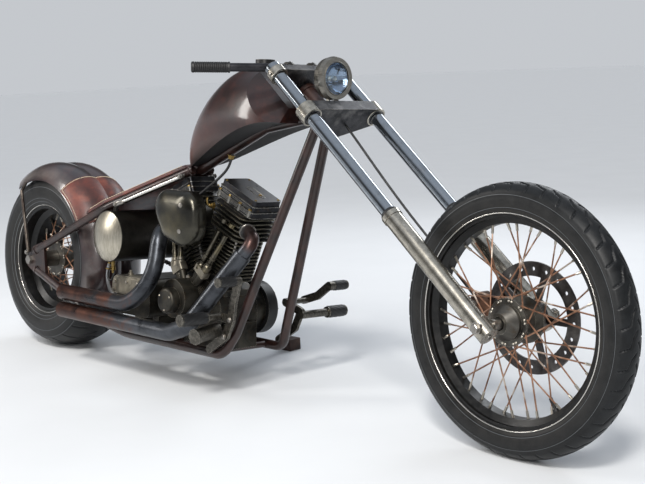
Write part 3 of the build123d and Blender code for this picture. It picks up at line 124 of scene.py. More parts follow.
class Look:
    """One material, its base colour and the pattern nodes behind its shader."""

    def __init__(self, name, base):
        self.material = bpy.data.materials.new(name)
        self.material.use_nodes = True
        self.tree = self.material.node_tree
        self.shader = self.tree.nodes["Principled BSDF"]
        self.where = self.node("TexCoord").outputs["Object"]
        self.base, self.height = base, None

    def put(self, socket, value):
        """Link a node's output to a socket, or set a number, vector or colour on it."""
        if isinstance(value, bpy.types.NodeSocket):
            self.tree.links.new(value, socket)
        else:
            socket.default_value = colour(value) if isinstance(value, str) else value

    def node(self, kind, *values, **settings):
        """A new node with its settings made and its first sockets filled."""
        node = self.tree.nodes.new("ShaderNode" + kind)
        for setting, value in settings.items():
            setattr(node, setting, value)
        for socket, value in zip(node.inputs, values):
            self.put(socket, value)
        return node

    def noise(self, scale, detail=5, rough=0.55, stretch=None, twist=0):
        """Cloudy noise over the piece's metres; stretch scales each axis."""
        none, where = (0, 0, 0), self.where
        if stretch:
            where = self.node("Mapping", where, none, none, stretch).outputs[0]
        node = self.node("TexNoise", where)
        settings = {"Scale": scale, "Detail": detail, "Roughness": rough, "Distortion": twist}
        for name, value in settings.items():
            node.inputs[name].default_value = value
        return node.outputs["Fac"]

    def pores(self, scale):
        """Distance from the middle of scattered rounded cells."""
        node = self.node("TexVoronoi", self.where, feature="SMOOTH_F1")
        node.inputs["Scale"].default_value = scale
        return node.outputs["Distance"]

    def span(self, value, low, high, start=0, end=1):
        """Map low..high of a value to start..end, clamped."""
        return self.node("MapRange", value, low, high, start, end, clamp=True).outputs[0]

    def vary(self, pattern, low, high):
        """A measure that follows the middle of a noise."""
        return self.span(pattern, 0.3, 0.7, low, high)

    def calc(self, operation, a, b):
        """Two values put together, kept between 0 and 1."""
        return self.node("Math", a, b, operation=operation, use_clamp=True).outputs[0]

    def near(self, value, at, width):
        """1 where a value is within a width of a number, else 0."""
        return self.node("Math", value, at, width, operation="COMPARE").outputs[0]

    def mix(self, share, a, b):
        """Colour a where the share is 0, b where it is 1."""
        node = self.node("Mix", share, data_type="RGBA")
        self.put(node.inputs[6], a)
        self.put(node.inputs[7], b)
        return node.outputs[2]

    def tint(self, code, share):
        """Lay a colour over the base."""
        self.base = self.mix(share, self.base, code)

    def layer(self, code, pattern, low, high, most=1):
        """Lay a colour over the base as a pattern runs from low to high."""
        self.tint(code, self.span(pattern, low, high, 0, most))

    def vector(self, operation, a, b):
        return self.node("VectorMath", a, b, operation=operation).outputs

    def along(self, start, end):
        """0 at one point of the frame to 1 at another, in its metres."""
        run = Vector(end) - Vector(start)
        place = self.vector("DOT_PRODUCT", self.where, run / run.length_squared)["Value"]
        offset = Vector(start).dot(run) / run.length_squared
        return self.span(place, offset, offset + 1)

    def off_axis(self, centre, axis):
        """Distance from an axis through a point, in metres."""
        arm = self.vector("SUBTRACT", self.where, centre)[0]
        across = self.vector("CROSS_PRODUCT", arm, Vector(axis).normalized())[0]
        return self.node("VectorMath", across, operation="LENGTH").outputs["Value"]

    def edges(self, width, low=0.02, high=0.35):
        """Edges: 1 on convex and concave corners, fading over the width in metres; worn edges on
        most finishes, a painted highlight on the tyres.
        """
        bevel = self.node("Bevel", width, samples=4).outputs[0]
        flat = self.node("NewGeometry").outputs["Normal"]
        match = self.vector("DOT_PRODUCT", bevel, flat)["Value"]
        return self.span(self.calc("SUBTRACT", 1, match), low, high)

    def facing_up(self, low, high):
        """0 on undersides to 1 on sides and tops."""
        flat = self.node("NewGeometry").outputs["Normal"]
        return self.span(self.node("SeparateXYZ", flat).outputs["Z"], low, high)

    def bump(self, height, strength, distance):
        """Relief from a pattern, on top of the relief that is there."""
        node = self.node("Bump")
        for name, value in zip(("Strength", "Distance", "Height"), (strength, distance, height)):
            self.put(node.inputs[name], value)
        if self.height is not None:
            self.put(node.inputs["Normal"], self.height)
        self.height = node.outputs[0]
        self.put(self.shader.inputs["Normal"], self.height)

    def finish(self, rough, metal=0, coat=0, coat_rough=0.1, **more):
        """Fill the shader's sockets; _ stands for a space in a socket's name."""
        settings = {"Base Color": self.base, "Roughness": rough, "Metallic": metal}
        settings |= {"Coat Weight": coat, "Coat Roughness": coat_rough}
        settings |= {name.replace("_", " "): value for name, value in more.items()}
        for name, value in settings.items():
            self.put(self.shader.inputs[name], value)
        return self.material


def worn_steel(name, dark, mid, bright, metal, rough, grain, edge=0, scratch=0.15):
    """Steel in three tones, blotched, scratched and worn at its edges."""
    look = Look(name, dark)
    blotch, fine = look.noise(grain, 7, 0.62), look.noise(grain * 14, 4, 0.6)
    look.layer(mid, blotch, 0.35, 0.7)
    look.layer(bright, look.noise(grain * 0.45, 5, 0.6), 0.52, 0.72, 0.6)
    look.layer(dark, fine, 0.45, 0.8, 0.35)
    if edge:
        patchy = look.span(blotch, 0.3, 0.6, 0.35, 1)
        look.tint("b9b2a8", look.calc("MULTIPLY", look.edges(edge), patchy))
    look.bump(fine, scratch, 0.0006)
    return look.finish(look.vary(blotch, *rough), metal)


def brushed(name, dark, light, rough, stretch, grain, edge=0):
    """Brushed alloy with long fine scratches and stains."""
    look = Look(name, dark)
    lines, stain = look.noise(grain, 3, 0.7, stretch), look.noise(9, 6, 0.6)
    look.layer(light, lines, 0.3, 0.7)
    look.layer(dark, stain, 0.45, 0.75, 0.55)
    if edge:
        look.tint("d8d2c4", look.edges(edge))
    look.bump(lines, 0.12, 0.0004)
    return look.finish(look.vary(stain, *rough), 0.95)


def lacquer(name, dark, warm, bright):
    """Clear-coated patina over sheet steel, and its roughness."""
    look = Look(name, dark)
    cloud, mottle = look.noise(4.5, 7, 0.6, twist=0.6), look.noise(26, 6, 0.65)
    speck = look.noise(190, 3, 0.6)
    look.layer(warm, cloud, 0.36, 0.62)
    look.layer(bright, mottle, 0.5, 0.72, 0.45)
    look.layer(dark, speck, 0.55, 0.75, 0.4)
    look.bump(mottle, 0.05, 0.002)
    look.bump(speck, 0.06, 0.0005)
    return look, look.vary(cloud, 0.26, 0.42)


def tank_material():
    """Warm low on its sides; underneath it is bare of coat, dull, and darkened as painted shade."""
    look, rough = lacquer("tank_lacquer", "160b0a", "321612", "4f271e")
    low = look.along(BIKE @ Vector((1000, 0, 1010)), BIKE @ Vector((860, 0, 730)))
    look.layer("6f3f30", low, 0.45, 1, 0.45)
    above = look.facing_up(-0.45, -0.05)
    # Undersides are mixed to near black 0d0908 as painted shade; they also lose the coat and turn
    # rougher.
    look.base = look.mix(above, "0d0908", look.base)
    rough = look.calc("ADD", rough, look.span(above, 0, 1, 0.35, 0))
    return look.finish(rough, 0.1, look.span(above, 0, 1, 0, 0.55), 0.1, Specular_IOR_Level=0.35)


def fender_material():
    """Rubbed to bare steel in a ring over the tyre; the ring on the shoulder is also a painted
    highlight.
    """
    look, rough = lacquer("fender_lacquer", "130d12", "2e1a1a", "4a2820")
    ring = look.off_axis(REAR_CENTRE, AXLE)
    rubbed_and_highlight = look.calc("MULTIPLY", look.span(ring, 0.347, 0.322), look.span(ring, 0.295, 0.312))
    rubbed_and_highlight = look.calc("MULTIPLY", rubbed_and_highlight, look.span(look.noise(7, 5), 0.35, 0.6, 0.05, 0.4))
    # The pale a39a94 ring on the shoulder is rubbed steel and a painted highlight together.
    look.tint("a39a94", rubbed_and_highlight)
    return look.finish(rough, look.span(rubbed_and_highlight, 0, 1, 0.12, 0.8), 0.9, 0.12)


def tube_material():
    """Dark brown patina of the frame's tubes, with fine specks."""
    look = Look("frame_tube_patina", "170e0d")
    blotch, speck = look.noise(16, 7, 0.62), look.noise(230, 4, 0.6)
    look.layer("2e1914", blotch, 0.38, 0.62)
    look.layer("4a332d", look.noise(7, 5, 0.6, (3, 3, 0.5)), 0.5, 0.66, 0.45)
    look.layer("24140f", speck, 0.52, 0.72, 0.5)
    look.bump(speck, 0.12, 0.0006)
    return look.finish(look.vary(blotch, 0.3, 0.5), 0.3, 0.35, 0.16)


def rubber_material(name, centre, axle, radii, lines):
    """Dusty black rubber, browner low on the wall, with fine rings drawn in painted shade and
    painted highlight, and edges lightened as a painted highlight.
    """
    look = Look(name, "0b0c0d")
    ring = look.off_axis(centre, axle)
    dust, fine = look.noise(30, 7, 0.65), look.noise(420, 3, 0.6)
    look.layer("191b1d", dust, 0.35, 0.7)
    wall = look.span(ring, *radii, 0.75, 0)
    look.tint("2a2723", look.calc("MULTIPLY", wall, look.span(dust, 0.3, 0.65, 0.2, 0.8)))
    look.layer("2c2e31", fine, 0.5, 0.8, 0.35)
    # Each ring is a near-black line of painted shade with a pale line beside it as a painted
    # highlight.
    for place, width in lines:
        look.tint("060607", look.near(ring, place, width))
        look.tint("5a5d60", look.near(ring, place + 1.8 * width, width * 0.6))
    # Bluish grey 606367 on the edges is a painted highlight.
    look.tint("606367", look.edges(0.0018, 0.03, 0.3))
    look.bump(fine, 0.25, 0.0005)
    look.bump(dust, 0.15, 0.001)
    return look.finish(look.vary(dust, 0.36, 0.55), Specular_IOR_Level=0.28)


def leather_material(name, dark, mid, light):
    """Waxed leather, lighter where it is rubbed, with pores and creases."""
    look = Look(name, dark)
    crease, tone = look.noise(75, 6, 0.6, twist=0.8), look.noise(11, 6, 0.62)
    look.layer(mid, tone, 0.36, 0.64)
    look.layer(light, look.noise(24), 0.52, 0.74, 0.7)
    look.layer(dark, crease, 0.56, 0.7, 0.4)
    look.bump(look.pores(620), 0.35, 0.0006)
    look.bump(crease, 0.3, 0.0012)
    return look.finish(look.vary(tone, 0.38, 0.58), 0, 0.2, 0.35)


def engine_material(name, dark, light, edge_colour="cfc8b8", edge=0.0012, rough=(0.3, 0.55)):
    """Cast alloy with oily stains and bright edges."""
    look = Look(name, dark)
    stain = look.noise(15, 7, 0.65, twist=0.4)
    look.layer(light, stain, 0.34, 0.66)
    look.layer("4a3a26", look.noise(48), 0.55, 0.75, 0.6)
    patchy = look.span(stain, 0.25, 0.55, 0.4, 1)
    look.tint(edge_colour, look.calc("MULTIPLY", look.edges(edge), patchy))
    look.bump(look.noise(330, 4, 0.6), 0.18, 0.0006)
    return look.finish(look.vary(stain, *rough), 0.85)


def exhaust_material():
    """Blued pipes that turn to brown rust towards their ends."""
    look = Look("exhaust_blued", None)
    tail = look.along(BIKE @ Vector((860, 0, 200)), BIKE @ Vector((380, 0, 200)))
    head = look.along(BIKE @ Vector((1168, -98, 462)), BIKE @ Vector((1204, -98, 500)))
    patch, streak = look.noise(14, 7, 0.65, twist=0.5), look.noise(30, 5, 0.6, (0.3, 2, 2))
    speck = look.noise(260, 3, 0.6)
    steel = look.mix(look.span(patch, 0.35, 0.65), "333539", "515459")
    rust = look.mix(look.span(patch, 0.38, 0.62), "30211d", "523429")
    rust = look.mix(look.span(streak, 0.5, 0.7, 0, 0.5), rust, "2d2022")
    share = look.span(look.calc("ADD", tail, look.span(patch, 0.35, 0.65, -0.3, 0.3)), 0.3, 0.7)
    share = look.calc("ADD", share, look.span(head, 0.1, 0.5, 0, 0.75))
    look.base = look.mix(share, steel, rust)
    look.layer("2a211e", speck, 0.55, 0.8, 0.4)
    look.bump(speck, 0.1, 0.0005)
    return look.finish(look.vary(patch, 0.24, 0.42), 0.85)


def spoke_material():
    """Spokes in rust and rubbed steel."""
    look = Look("spoke_rust", "6b4a3a")
    patch = look.noise(38, 5, 0.6)
    look.layer("a07a62", patch, 0.34, 0.6)
    look.layer("c6b9ac", look.noise(17, 4), 0.54, 0.64)
    return look.finish(look.vary(patch, 0.35, 0.55), 0.8)


def rim_material(name, centre, axle, lip):
    """Chipped satin black with a rubbed metal lip."""
    look = Look(name, "0c0c0c")
    ring, chip = look.off_axis(centre, axle), look.noise(60, 6, 0.65)
    look.layer("1c1b1a", chip, 0.4, 0.7)
    bare, patchy = look.span(ring, lip - 0.006, lip - 0.002), look.span(chip, 0.35, 0.55, 0.4, 1)
    edge = look.calc("MULTIPLY", bare, patchy)
    look.tint("a9a49c", edge)
    look.bump(chip, 0.12, 0.0006)
    return look.finish(look.vary(chip, 0.28, 0.45), look.span(edge, 0, 1, 0.4, 0.95))


def chrome_material():
    """Hazy chrome with rusty pits."""
    look = Look("fork_chrome", "9aa0a6")
    haze, pits = look.noise(22, 6, 0.62), look.noise(300, 3, 0.6)
    look.layer("6a6c6e", haze, 0.5, 0.75, 0.5)
    look.layer("5b4638", pits, 0.62, 0.74, 0.6)
    look.bump(pits, 0.05, 0.0004)
    return look.finish(look.vary(haze, 0.08, 0.2), 1)


def glass_material(name, tint="e8f0f6"):
    """Slightly smeared glass."""
    look = Look(name, tint)
    smear = look.span(look.noise(40, 4, 0.5), 0.4, 0.7, 0.01, 0.06)
    return look.finish(smear, Transmission_Weight=1, IOR=1.45)


def plain(name, code, rough, metal, speckle=0.25):
    """A small fitting's finish: one tone, mottled."""
    look = Look(name, code)
    patch = look.noise(70, 5, 0.6)
    look.layer([c * 0.45 for c in colour(code)[:3]] + [1], patch, 0.45, 0.75, speckle * 2)
    look.bump(look.noise(380, 3), 0.1, 0.0004)
    return look.finish(look.vary(patch, rough * 0.8, rough * 1.25), metal)


tube_patina = tube_material()
chrome = chrome_material()
leather = leather_material("saddle_leather", "34150e", "62291b", "82412d")
seat_hide = leather_material("seat_leather", "2f1412", "57261d", "763d2f")
engine_alloy = engine_material("engine_alloy", "1b1a19", "4a4740")
light_cast = engine_material("light_cast_alloy", "6a655b", "a29b8c", "d9d2c2", 0.0012, (0.35, 0.55))
rocker_edge = engine_material(
    "rocker_edge_alloy", "4c4c4a", "8f8d87", "c9c6bd", 0.001, (0.22, 0.36)
)
cleaner_alloy = worn_steel(
    "air_cleaner_gunmetal", "343330", "575449", "7d7357", 0.9, (0.18, 0.3), 8
)
black_paint = worn_steel("black_paint", "111112", "222224", "3a3835", 0.3, (0.3, 0.5), 20, 0.0015)
oil_body = worn_steel("oil_tank_body", "232220", "3c3934", "56514a", 0.8, (0.32, 0.45), 12)
pushrod_metal = worn_steel("pushrod_metal", "3a3730", "6f6a5e", "9c8f6c", 0.95, (0.22, 0.36), 30)
chain_steel = plain("oily_chain", "3c3731", 0.4, 0.9)
brass = plain("aged_brass", "8d7748", 0.36, 1, 0.4)
steel = plain("zinc_steel", "9a9690", 0.35, 1)
dark_steel = plain("dark_steel", "34322f", 0.42, 0.8)
black_rubber = plain("black_rubber", "101011", 0.5, 0, 0.3)
thread = plain("waxed_thread", "d6c8ae", 0.7, 0, 0.2)
strut_polish = plain("strut_polish", "d6d3cc", 0.24, 1, 0.1)
rim_lip = plain("rim_lip_steel", "c9c6c0", 0.22, 1, 0.15)
nickel = plain("dull_nickel", "b9b2a6", 0.3, 1)
# The reflector's bluish 9aa6b6 is a painted sky reflection.
sky_tint_mirror = plain("lamp_mirror", "9aa6b6", 0.08, 1, 0.1)
braid = plain("oil_hose_braid", "8d8f92", 0.4, 0.7, 0.4)
oil_end = brushed("oil_tank_metal", "938d80", "c4bdad", (0.26, 0.38), (12, 12, 0.6), 22)
slider_alloy = brushed("slider_alloy", "8a867c", "c4beb2", (0.17, 0.3), (2, 2, 2), 22)
lamp_alloy = brushed("lamp_alloy", "5c5953", "aba79e", (0.24, 0.38), (1, 1, 20), 50)
lens_glass = glass_material("lamp_glass")
bulb_glass = glass_material("bulb_glass", "f4efe2")
front_rubber = rubber_material(
    "front_rubber", FRONT_CENTRE, FRONT_AXLE, (0.282, 0.335), [(0.2855, 0.0008), (0.318, 0.0007)]
)
rear_rubber = rubber_material(
    "rear_rubber", REAR_CENTRE, AXLE, (0.22, 0.31),
    [(0.211, 0.0011), (0.224, 0.001), (0.266, 0.001), (0.291, 0.0009)],
)

SLOT_LOOKS = {
    "frame_paint": tube_patina,
    "spoke_steel": spoke_material(),
    "hub_alloy": engine_material("hub_alloy", "33312f", "6b6862"),
    "disc_steel": worn_steel("disc_steel", "2f2b2a", "5c5a59", "85827e", 0.9, (0.26, 0.45), 26),
    "fork_chrome": chrome,
    "slider_alloy": slider_alloy,
    "yoke_iron": worn_steel(
        "hammered_iron", "232326", "464648", "8a8885", 0.85, (0.26, 0.44), 34, 0.002, 0.7
    ),
    "axle_steel": steel,
    "bar_steel": worn_steel("bar_black", "17171a", "2c2c30", "4a4a4e", 0.6, (0.22, 0.38), 16),
    "grip_rubber": black_rubber,
    "lens_glass": lens_glass,
    "caliper_iron": worn_steel("rusty_caliper", "2c211c", "5a3a2a", "8a5a3e", 0.5, (0.5, 0.7), 30),
    "pad_leather": leather,
    "seat_leather": seat_hide,
    "oil_steel": oil_body,
    "engine_alloy": engine_alloy,
    "rocker_metal": engine_material(
        "rocker_alloy", "1a1a1c", "35363a", "93938f", 0.0016, (0.26, 0.4)
    ),
    "cleaner_metal": cleaner_alloy,
    "primary_black": black_paint,
    "chain_steel": chain_steel,
    "exhaust_steel": exhaust_material(),
    "control_alloy": brushed(
        "control_alloy", "34322f", "77736b", (0.34, 0.52), (3, 3, 3), 40, 0.0012
    ),
    "stand_steel": worn_steel("stand_iron", "241b19", "43302a", "5f4a40", 0.5, (0.4, 0.6), 24),
}
NODE_LOOKS = {
    "fuel_tank": tank_material(),
    "rear_fender": fender_material(),
    "front_rim": rim_material("front_rim_black", FRONT_CENTRE, FRONT_AXLE, 0.279),
    "rear_rim": rim_material("rear_rim_black", REAR_CENTRE, AXLE, 0.207),
    "front_tyre": front_rubber,
    "rear_tyre": rear_rubber,
    "lamp_shell": lamp_alloy,
    "cylinders": engine_material("cylinder_alloy", "1c1c1d", "3c3b39", "c9bf9f", 0.0014),
    "filler_cap": black_paint,
    "fender_stays": worn_steel("stay_steel", "3a322e", "6e655c", "a19a90", 0.85, (0.3, 0.45), 20),
    "pushrod_tubes": pushrod_metal,
}

# Every carried-over CAD piece gets its finish
for entry in frame["record"]["subparts"]:
    slot_name = entry["material_slot"]
    materials = nodes[entry["node"]].data.materials
    materials.clear()
    materials.append(NODE_LOOKS.get(entry["node"]) or SLOT_LOOKS[slot_name])


# Mesh tools


def turns(count, start=0):
    """Angles spread evenly round a circle."""
    return [start + 2 * pi * i / count for i in range(count)]


def polar(radius, turn, x=0, y=0):
    """A point of a plane at a radius and angle round a middle."""
    return x + radius * cos(turn), y + radius * sin(turn)


def round_y(radius, turn, y=0, x=0, z=0):
    """A point round an axis along Y."""
    return x + radius * cos(turn), y, z + radius * sin(turn)


class Shape:
    """Points and faces gathered from simple forms."""

    def __init__(self):
        self.points, self.faces = [], []

    def add(self, points, faces, matrix=None):
        """Take in points and the faces between them."""
        start = len(self.points)
        if matrix is not None:
            points = [matrix @ Vector(p) for p in points]
        self.points += [tuple(p) for p in points]
        self.faces += [tuple(i + start for i in face) for face in faces]
        return self

    def grid(self, rows, around=False, through=False, matrix=None):
        """Faces between rows of points; around closes each row, through closes the rows."""
        count = len(rows[0])
        faces = []
        for i in range(len(rows) if through else len(rows) - 1):
            for j in range(count if around else count - 1):
                a, b, k = i * count, (i + 1) % len(rows) * count, (j + 1) % count
                faces.append((a + j, a + k, b + k, b + j))
        return self.add([p for row in rows for p in row], faces, matrix)

    def slab(self, rows):
        """A closed sheet from rows that run over its top and back under it."""
        self.grid(rows, around=True)
        count = len(rows[0])
        for start in (0, (len(rows) - 1) * count):
            for j in range(count // 2 - 1):
                top, under = start + j, start + count - 1 - j
                self.faces.append((top, top + 1, under - 1, under))
        return self

    def lathe(self, outline, steps=24, matrix=None, closed=False):
        """Outline of (radius, height) turned round Z; closed joins its last point to its first."""
        rows = [[(*polar(r, turn), z) for r, z in outline] for turn in turns(steps)]
        return self.grid(rows, around=closed, through=True, matrix=matrix)

    def prism(self, ring, thickness, matrix=None):
        """A flat outline of (x, y) raised along Z."""
        count = len(ring)
        points = [(x, y, z) for z in (0, thickness) for x, y in ring]
        faces = [tuple(reversed(range(count))), tuple(range(count, 2 * count))]
        for i in range(count):
            j = (i + 1) % count
            faces.append((i, j, count + j, count + i))
        return self.add(points, faces, matrix)

    def tube(self, path, radius, sides=10, matrix=None, closed=False):
        """A round tube through points; radius may be a list."""
        path = [Vector(p) for p in path]
        radii = radius if isinstance(radius, list) else [radius] * len(path)
        rows, side = [], None
        for i, p in enumerate(path):
            before = path[i - 1] if i or closed else p
            after = path[(i + 1) % len(path)] if i + 1 < len(path) or closed else p
            run = (after - before).normalized()
            side = side or run.orthogonal()
            side = (side - run * side.dot(run)).normalized()
            other = run.cross(side)
            rows.append([p + (side * cos(t) + other * sin(t)) * radii[i] for t in turns(sides)])
        self.grid(rows, around=True, through=closed, matrix=matrix)
        if not closed:
            start = len(self.points) - len(rows) * sides
            self.faces.append(tuple(range(start + sides - 1, start - 1, -1)))
            self.faces.append(tuple(range(len(self.points) - sides, len(self.points))))
        return self


def piece(name, shape, look, slot_name, matrix=BIKE, body="frame", smooth=35, stand_for=()):
    """A mesh object from a shape, placed by its axes and riding on a body."""
    data = bpy.data.meshes.new(name)
    data.from_pydata(shape.points, [], shape.faces)
    data.transform(matrix)
    made = bmesh.new()
    made.from_mesh(data)
    bmesh.ops.remove_doubles(made, verts=made.verts, dist=1e-6)
    bmesh.ops.recalc_face_normals(made, faces=made.faces)
    made.to_mesh(data)
    made.free()
    data.shade_smooth()
    data.set_sharp_from_angle(angle=radians(smooth))
    data.materials.append(look)
    obj = bpy.data.objects.new(name, data)
    bpy.context.scene.collection.objects.link(obj)
    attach(obj, body)
    if stand_for:
        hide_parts(*stand_for)
    return obj


def facing(point, direction):
    """Axes at a point whose Z looks along a direction."""
    z = Vector(direction).normalized()
    x = z.orthogonal().normalized()
    turn = Matrix((x, z.cross(x), z)).transposed().to_4x4()
    return Matrix.Translation(point) @ turn


ALONG_Y = facing((0, 0, 0), (0, 1, 0))


def hex_bolt(shape, point, direction, size, height=None, washer=True, spin=None):
    """A hexagon head on its washer."""
    height = height or size * 0.6
    spin = dice.uniform(0, 1) if spin is None else spin
    at = facing(point, direction) @ rotation(spin, "Z")
    base = size * 0.12 if washer else 0
    if washer:
        shape.lathe([(0, 0), (size * 1.25, 0), (size * 1.25, base), (0, base)], 16, at)
    rim, top = (size, base + height * 0.82), base + height
    shape.lathe([(0, base), (size, base), rim, (size * 0.84, top), (0, top)], 6, at)


def dome_bolt(shape, point, direction, size, height=None):
    """A round head with a hexagon socket."""
    height = height or size * 0.55
    outline = [
        (0, 0), (1, 0), (0.97, 0.5), (0.75, 0.92), (0.5, 1),
        (0.48, 0.45), (0, 0.45),
    ]
    shape.lathe([(size * r, height * z) for r, z in outline], 14, facing(point, direction))


def unwound(turn, near):
    """The same angle, within half a turn of another."""
    return near + (turn - near + pi) % (2 * pi) - pi


def arc3(a, b, c, count):
    """Points of the arc through three points of a plane."""
    ax, ay, bx, by, cx, cy = *a, *b, *c
    d = 2 * (ax * (by - cy) + bx * (cy - ay) + cx * (ay - by))
    aa, bb, cc = ax * ax + ay * ay, bx * bx + by * by, cx * cx + cy * cy
    ux = (aa * (by - cy) + bb * (cy - ay) + cc * (ay - by)) / d
    uy = (aa * (cx - bx) + bb * (ax - cx) + cc * (bx - ax)) / d
    r = hypot(ax - ux, ay - uy)
    first, middle, last = (atan2(y - uy, x - ux) for x, y in (a, b, c))
    last = unwound(last, unwound(middle, first))
    return [polar(r, first + (last - first) * i / count, ux, uy) for i in range(count + 1)]


def rounded(half_x, half_y, radius, steps=5):
    """Outline of a rounded rectangle."""
    ring = []
    for k, (sx, sy) in enumerate(((1, 1), (-1, 1), (-1, -1), (1, -1))):
        x, y = sx * (half_x - radius), sy * (half_y - radius)
        ring += [polar(radius, pi / 2 * (k + i / steps), x, y) for i in range(steps + 1)]
    return ring


def smooth_path(points, count=8):
    """A finer path through points."""
    spots = [Vector(p) for p in points]
    spots = [spots[0] * 2 - spots[1]] + spots + [spots[-1] * 2 - spots[-2]]
    path = []
    for a, b, c, d in zip(spots, spots[1:], spots[2:], spots[3:]):
        for t in (i / count for i in range(count)):
            bend, twist = 2 * a - 5 * b + 4 * c - d, 3 * b - a - 3 * c + d
            path.append(0.5 * (2 * b + (c - a) * t + bend * t * t + twist * t ** 3))
    return path + [spots[-2]]


# Tyres


def tread_tyre(name, wheel, body, look, node, outer, width, bead, rim_width, steps, groove, ribs):
    """The tyre's outer skin with its wall ribs and cut tread."""
    around, across = steps
    half, foot = width / 2, rim_width / 2 - 4
    shoulder, waist, tread = bead + (outer - bead) * 0.78, bead + (outer - bead) * 0.42, half * 0.86
    wall = arc3((bead, -foot), (waist, -half), (shoulder, -tread), 22)
    crown = arc3((shoulder, -tread), (outer, 0), (shoulder, tread), across)
    outline = wall[:-1] + crown + [(r, -y) for r, y in reversed(wall[:-1])]
    rows = []
    for angle in turns(around):
        row = []
        for r, y in outline:
            cut = groove(angle * outer, y) if r > shoulder - 6 else 0
            rib = 0
            if r < shoulder:
                rib = sum(high * max(0, 1 - abs(r - at) / wide) for at, wide, high in ribs)
            row.append(round_y(r - cut, angle, y + copysign(rib, y) if abs(y) > 1 else y))
        rows.append(row)
    piece(name, Shape().grid(rows, through=True), look, "tyre_rubber", wheel, body, 60, (node,))


def zigzag(radius, near, half, wide, deep):
    """Tread cuts: slanted lines from each shoulder that kink along the crown."""
    pitch = 2 * pi * radius / round(2 * pi * radius / near)
    lines = []
    for side in (1, -1):
        shift = 0 if side > 0 else pitch / 2
        points = [(0, half * 0.98), (0.16, half * 0.5), (0.62, half * 0.34), (0.9, half * 0.06)]
        points = [(shift + x * pitch, side * y) for x, y in points]
        lines += list(zip(points, points[1:]))

    def depth(s, y):
        """How deep the tread is cut, s mm round the tyre and y mm off its middle."""
        best = 1e9
        for (ax, ay), (bx, by) in lines:
            for turn in (-1, 0, 1):
                px, py = s % pitch + turn * pitch - ax, y - ay
                dx, dy = bx - ax, by - ay
                t = max(0, min(1, (px * dx + py * dy) / (dx * dx + dy * dy)))
                best = min(best, hypot(px - t * dx, py - t * dy))
        return deep * max(0, min(1, (wide - best) / (wide * 0.5)))

    return depth


# Each rib of a wall: its radius, half width and height
coarse = 1
tread_tyre(
    "front_tyre_tread", FRONT, "front_wheel", front_rubber, "front_tyre",
    outer=FRONT_RADIUS, width=92, bead=266.7, rim_width=72,
    steps=(int(900 * coarse), int(44 * coarse)),
    groove=zigzag(FRONT_RADIUS, near=52, half=39, wide=2.8, deep=3.8),
    ribs=[(276, 3, 1.8), (283, 2, 1.4), (316, 2, 1.4), (320, 2, 1.2)],
)
tread_tyre(
    "rear_tyre_tread", REAR, "rear_wheel", rear_rubber, "rear_tyre",
    outer=REAR_RADIUS, width=230, bead=190.5, rim_width=182,
    steps=(int(760 * coarse), int(84 * coarse)),
    groove=zigzag(REAR_RADIUS, near=84, half=98, wide=4, deep=5),
    ribs=[
        (206, 4, 3), (216, 3, 2), (228, 2.5, 1.6),
        (262, 2.5, 1.8), (270, 2.5, 1.8), (290, 2.5, 1.6),
    ],
)


# Leather


def saddle():
    """The crowned leather panel over the fender, with thinned edges and whip stitches."""
    front, back, cols, steps = 27, 60, 40, 56
    outer, side, edge = 355.3, 124.3, 298
    line = arc3((edge, side), (outer * 0.972, side * 0.68), (outer, 0), cols)
    line += [(r, -y) for r, y in reversed(line[:-1])]
    last = len(line) - 1
    top, rows = [], []
    for i in range(steps + 1):
        share = i / steps
        rim = min(share, 1 - share) * (back - front) * pi / 180 * 355
        angle = radians(front + (back - front) * share)
        upper, lower = [], []
        for j, (r, y) in enumerate(line):
            before, after = line[max(j - 1, 0)], line[min(j + 1, last)]
            tr, ty = after[0] - before[0], after[1] - before[1]
            size = hypot(tr, ty)
            near = min(rim, min(j, last - j) * 4.6)
            thick = 2.2 + 4.2 * (1 - exp(-near / 9)) - 1.6 * exp(-((near - 9) / 2.2) ** 2)
            for out, points in ((thick, upper), (0, lower)):
                points.append(round_y(r - ty / size * out, angle, y + tr / size * out))
        top.append(upper)
        rows.append(upper + lower[::-1])
    shape = Shape().slab(rows)
    panel = piece(
        "leather_saddle", shape, leather, "pad_leather", REAR, smooth=50, stand_for=("fender_pad",)
    )
    stitches = Shape()

    def sew(points, shares, trim):
        """Slanting stitches along a line of surface points, over finer steps of it."""
        dense = [Vector(a).lerp(Vector(b), t) for a, b in zip(points, points[1:]) for t in shares]
        dense = dense[trim:len(dense) - trim]
        for a, b in zip(dense[:-3:4], dense[2:-1:4]):
            out = Vector((a.x, 0, a.z)).normalized()
            sunk, proud = out * 0.4, out * 1.1
            spots = [a - sunk, a.lerp(b, 0.3) + proud, a.lerp(b, 0.7) + proud, b - sunk]
            stitches.tube(spots, [1, 1.35, 1.35, 1], 6)

    for row in (top[2], top[steps - 2]):
        sew(row, (0, 0.33, 0.66), 3)
    for col in (2, last - 2):
        sew([row[col] for row in top[2:-1]], (0, 0.5), 0)
    piece("saddle_stitches", stitches, thread, "pad_leather", REAR, smooth=60)


saddle()

SEAT_RUN = Vector((RAIL_FRONT.x - RAIL_REAR.x, 0, RAIL_FRONT.z - RAIL_REAR.z)).normalized()
SEAT_LIFT = Vector((-SEAT_RUN.z, 0, SEAT_RUN.x))
SEAT_ORIGIN = Vector((RAIL_REAR.x, 0, RAIL_REAR.z)) + SEAT_LIFT * 14.3
SEAT = BIKE @ Matrix((
    (SEAT_RUN.x, 0, SEAT_LIFT.x, SEAT_ORIGIN.x),
    (0, 1, 0, 0),
    (SEAT_RUN.z, 0, SEAT_LIFT.z, SEAT_ORIGIN.z),
    (0, 0, 0, 1),
))
SEAT_OUTLINE = [(-110, 151), (0, 149), (140, 109), (248, 79), (350, 48)]
SEAT_BACK, SEAT_FRONT = -110, 350


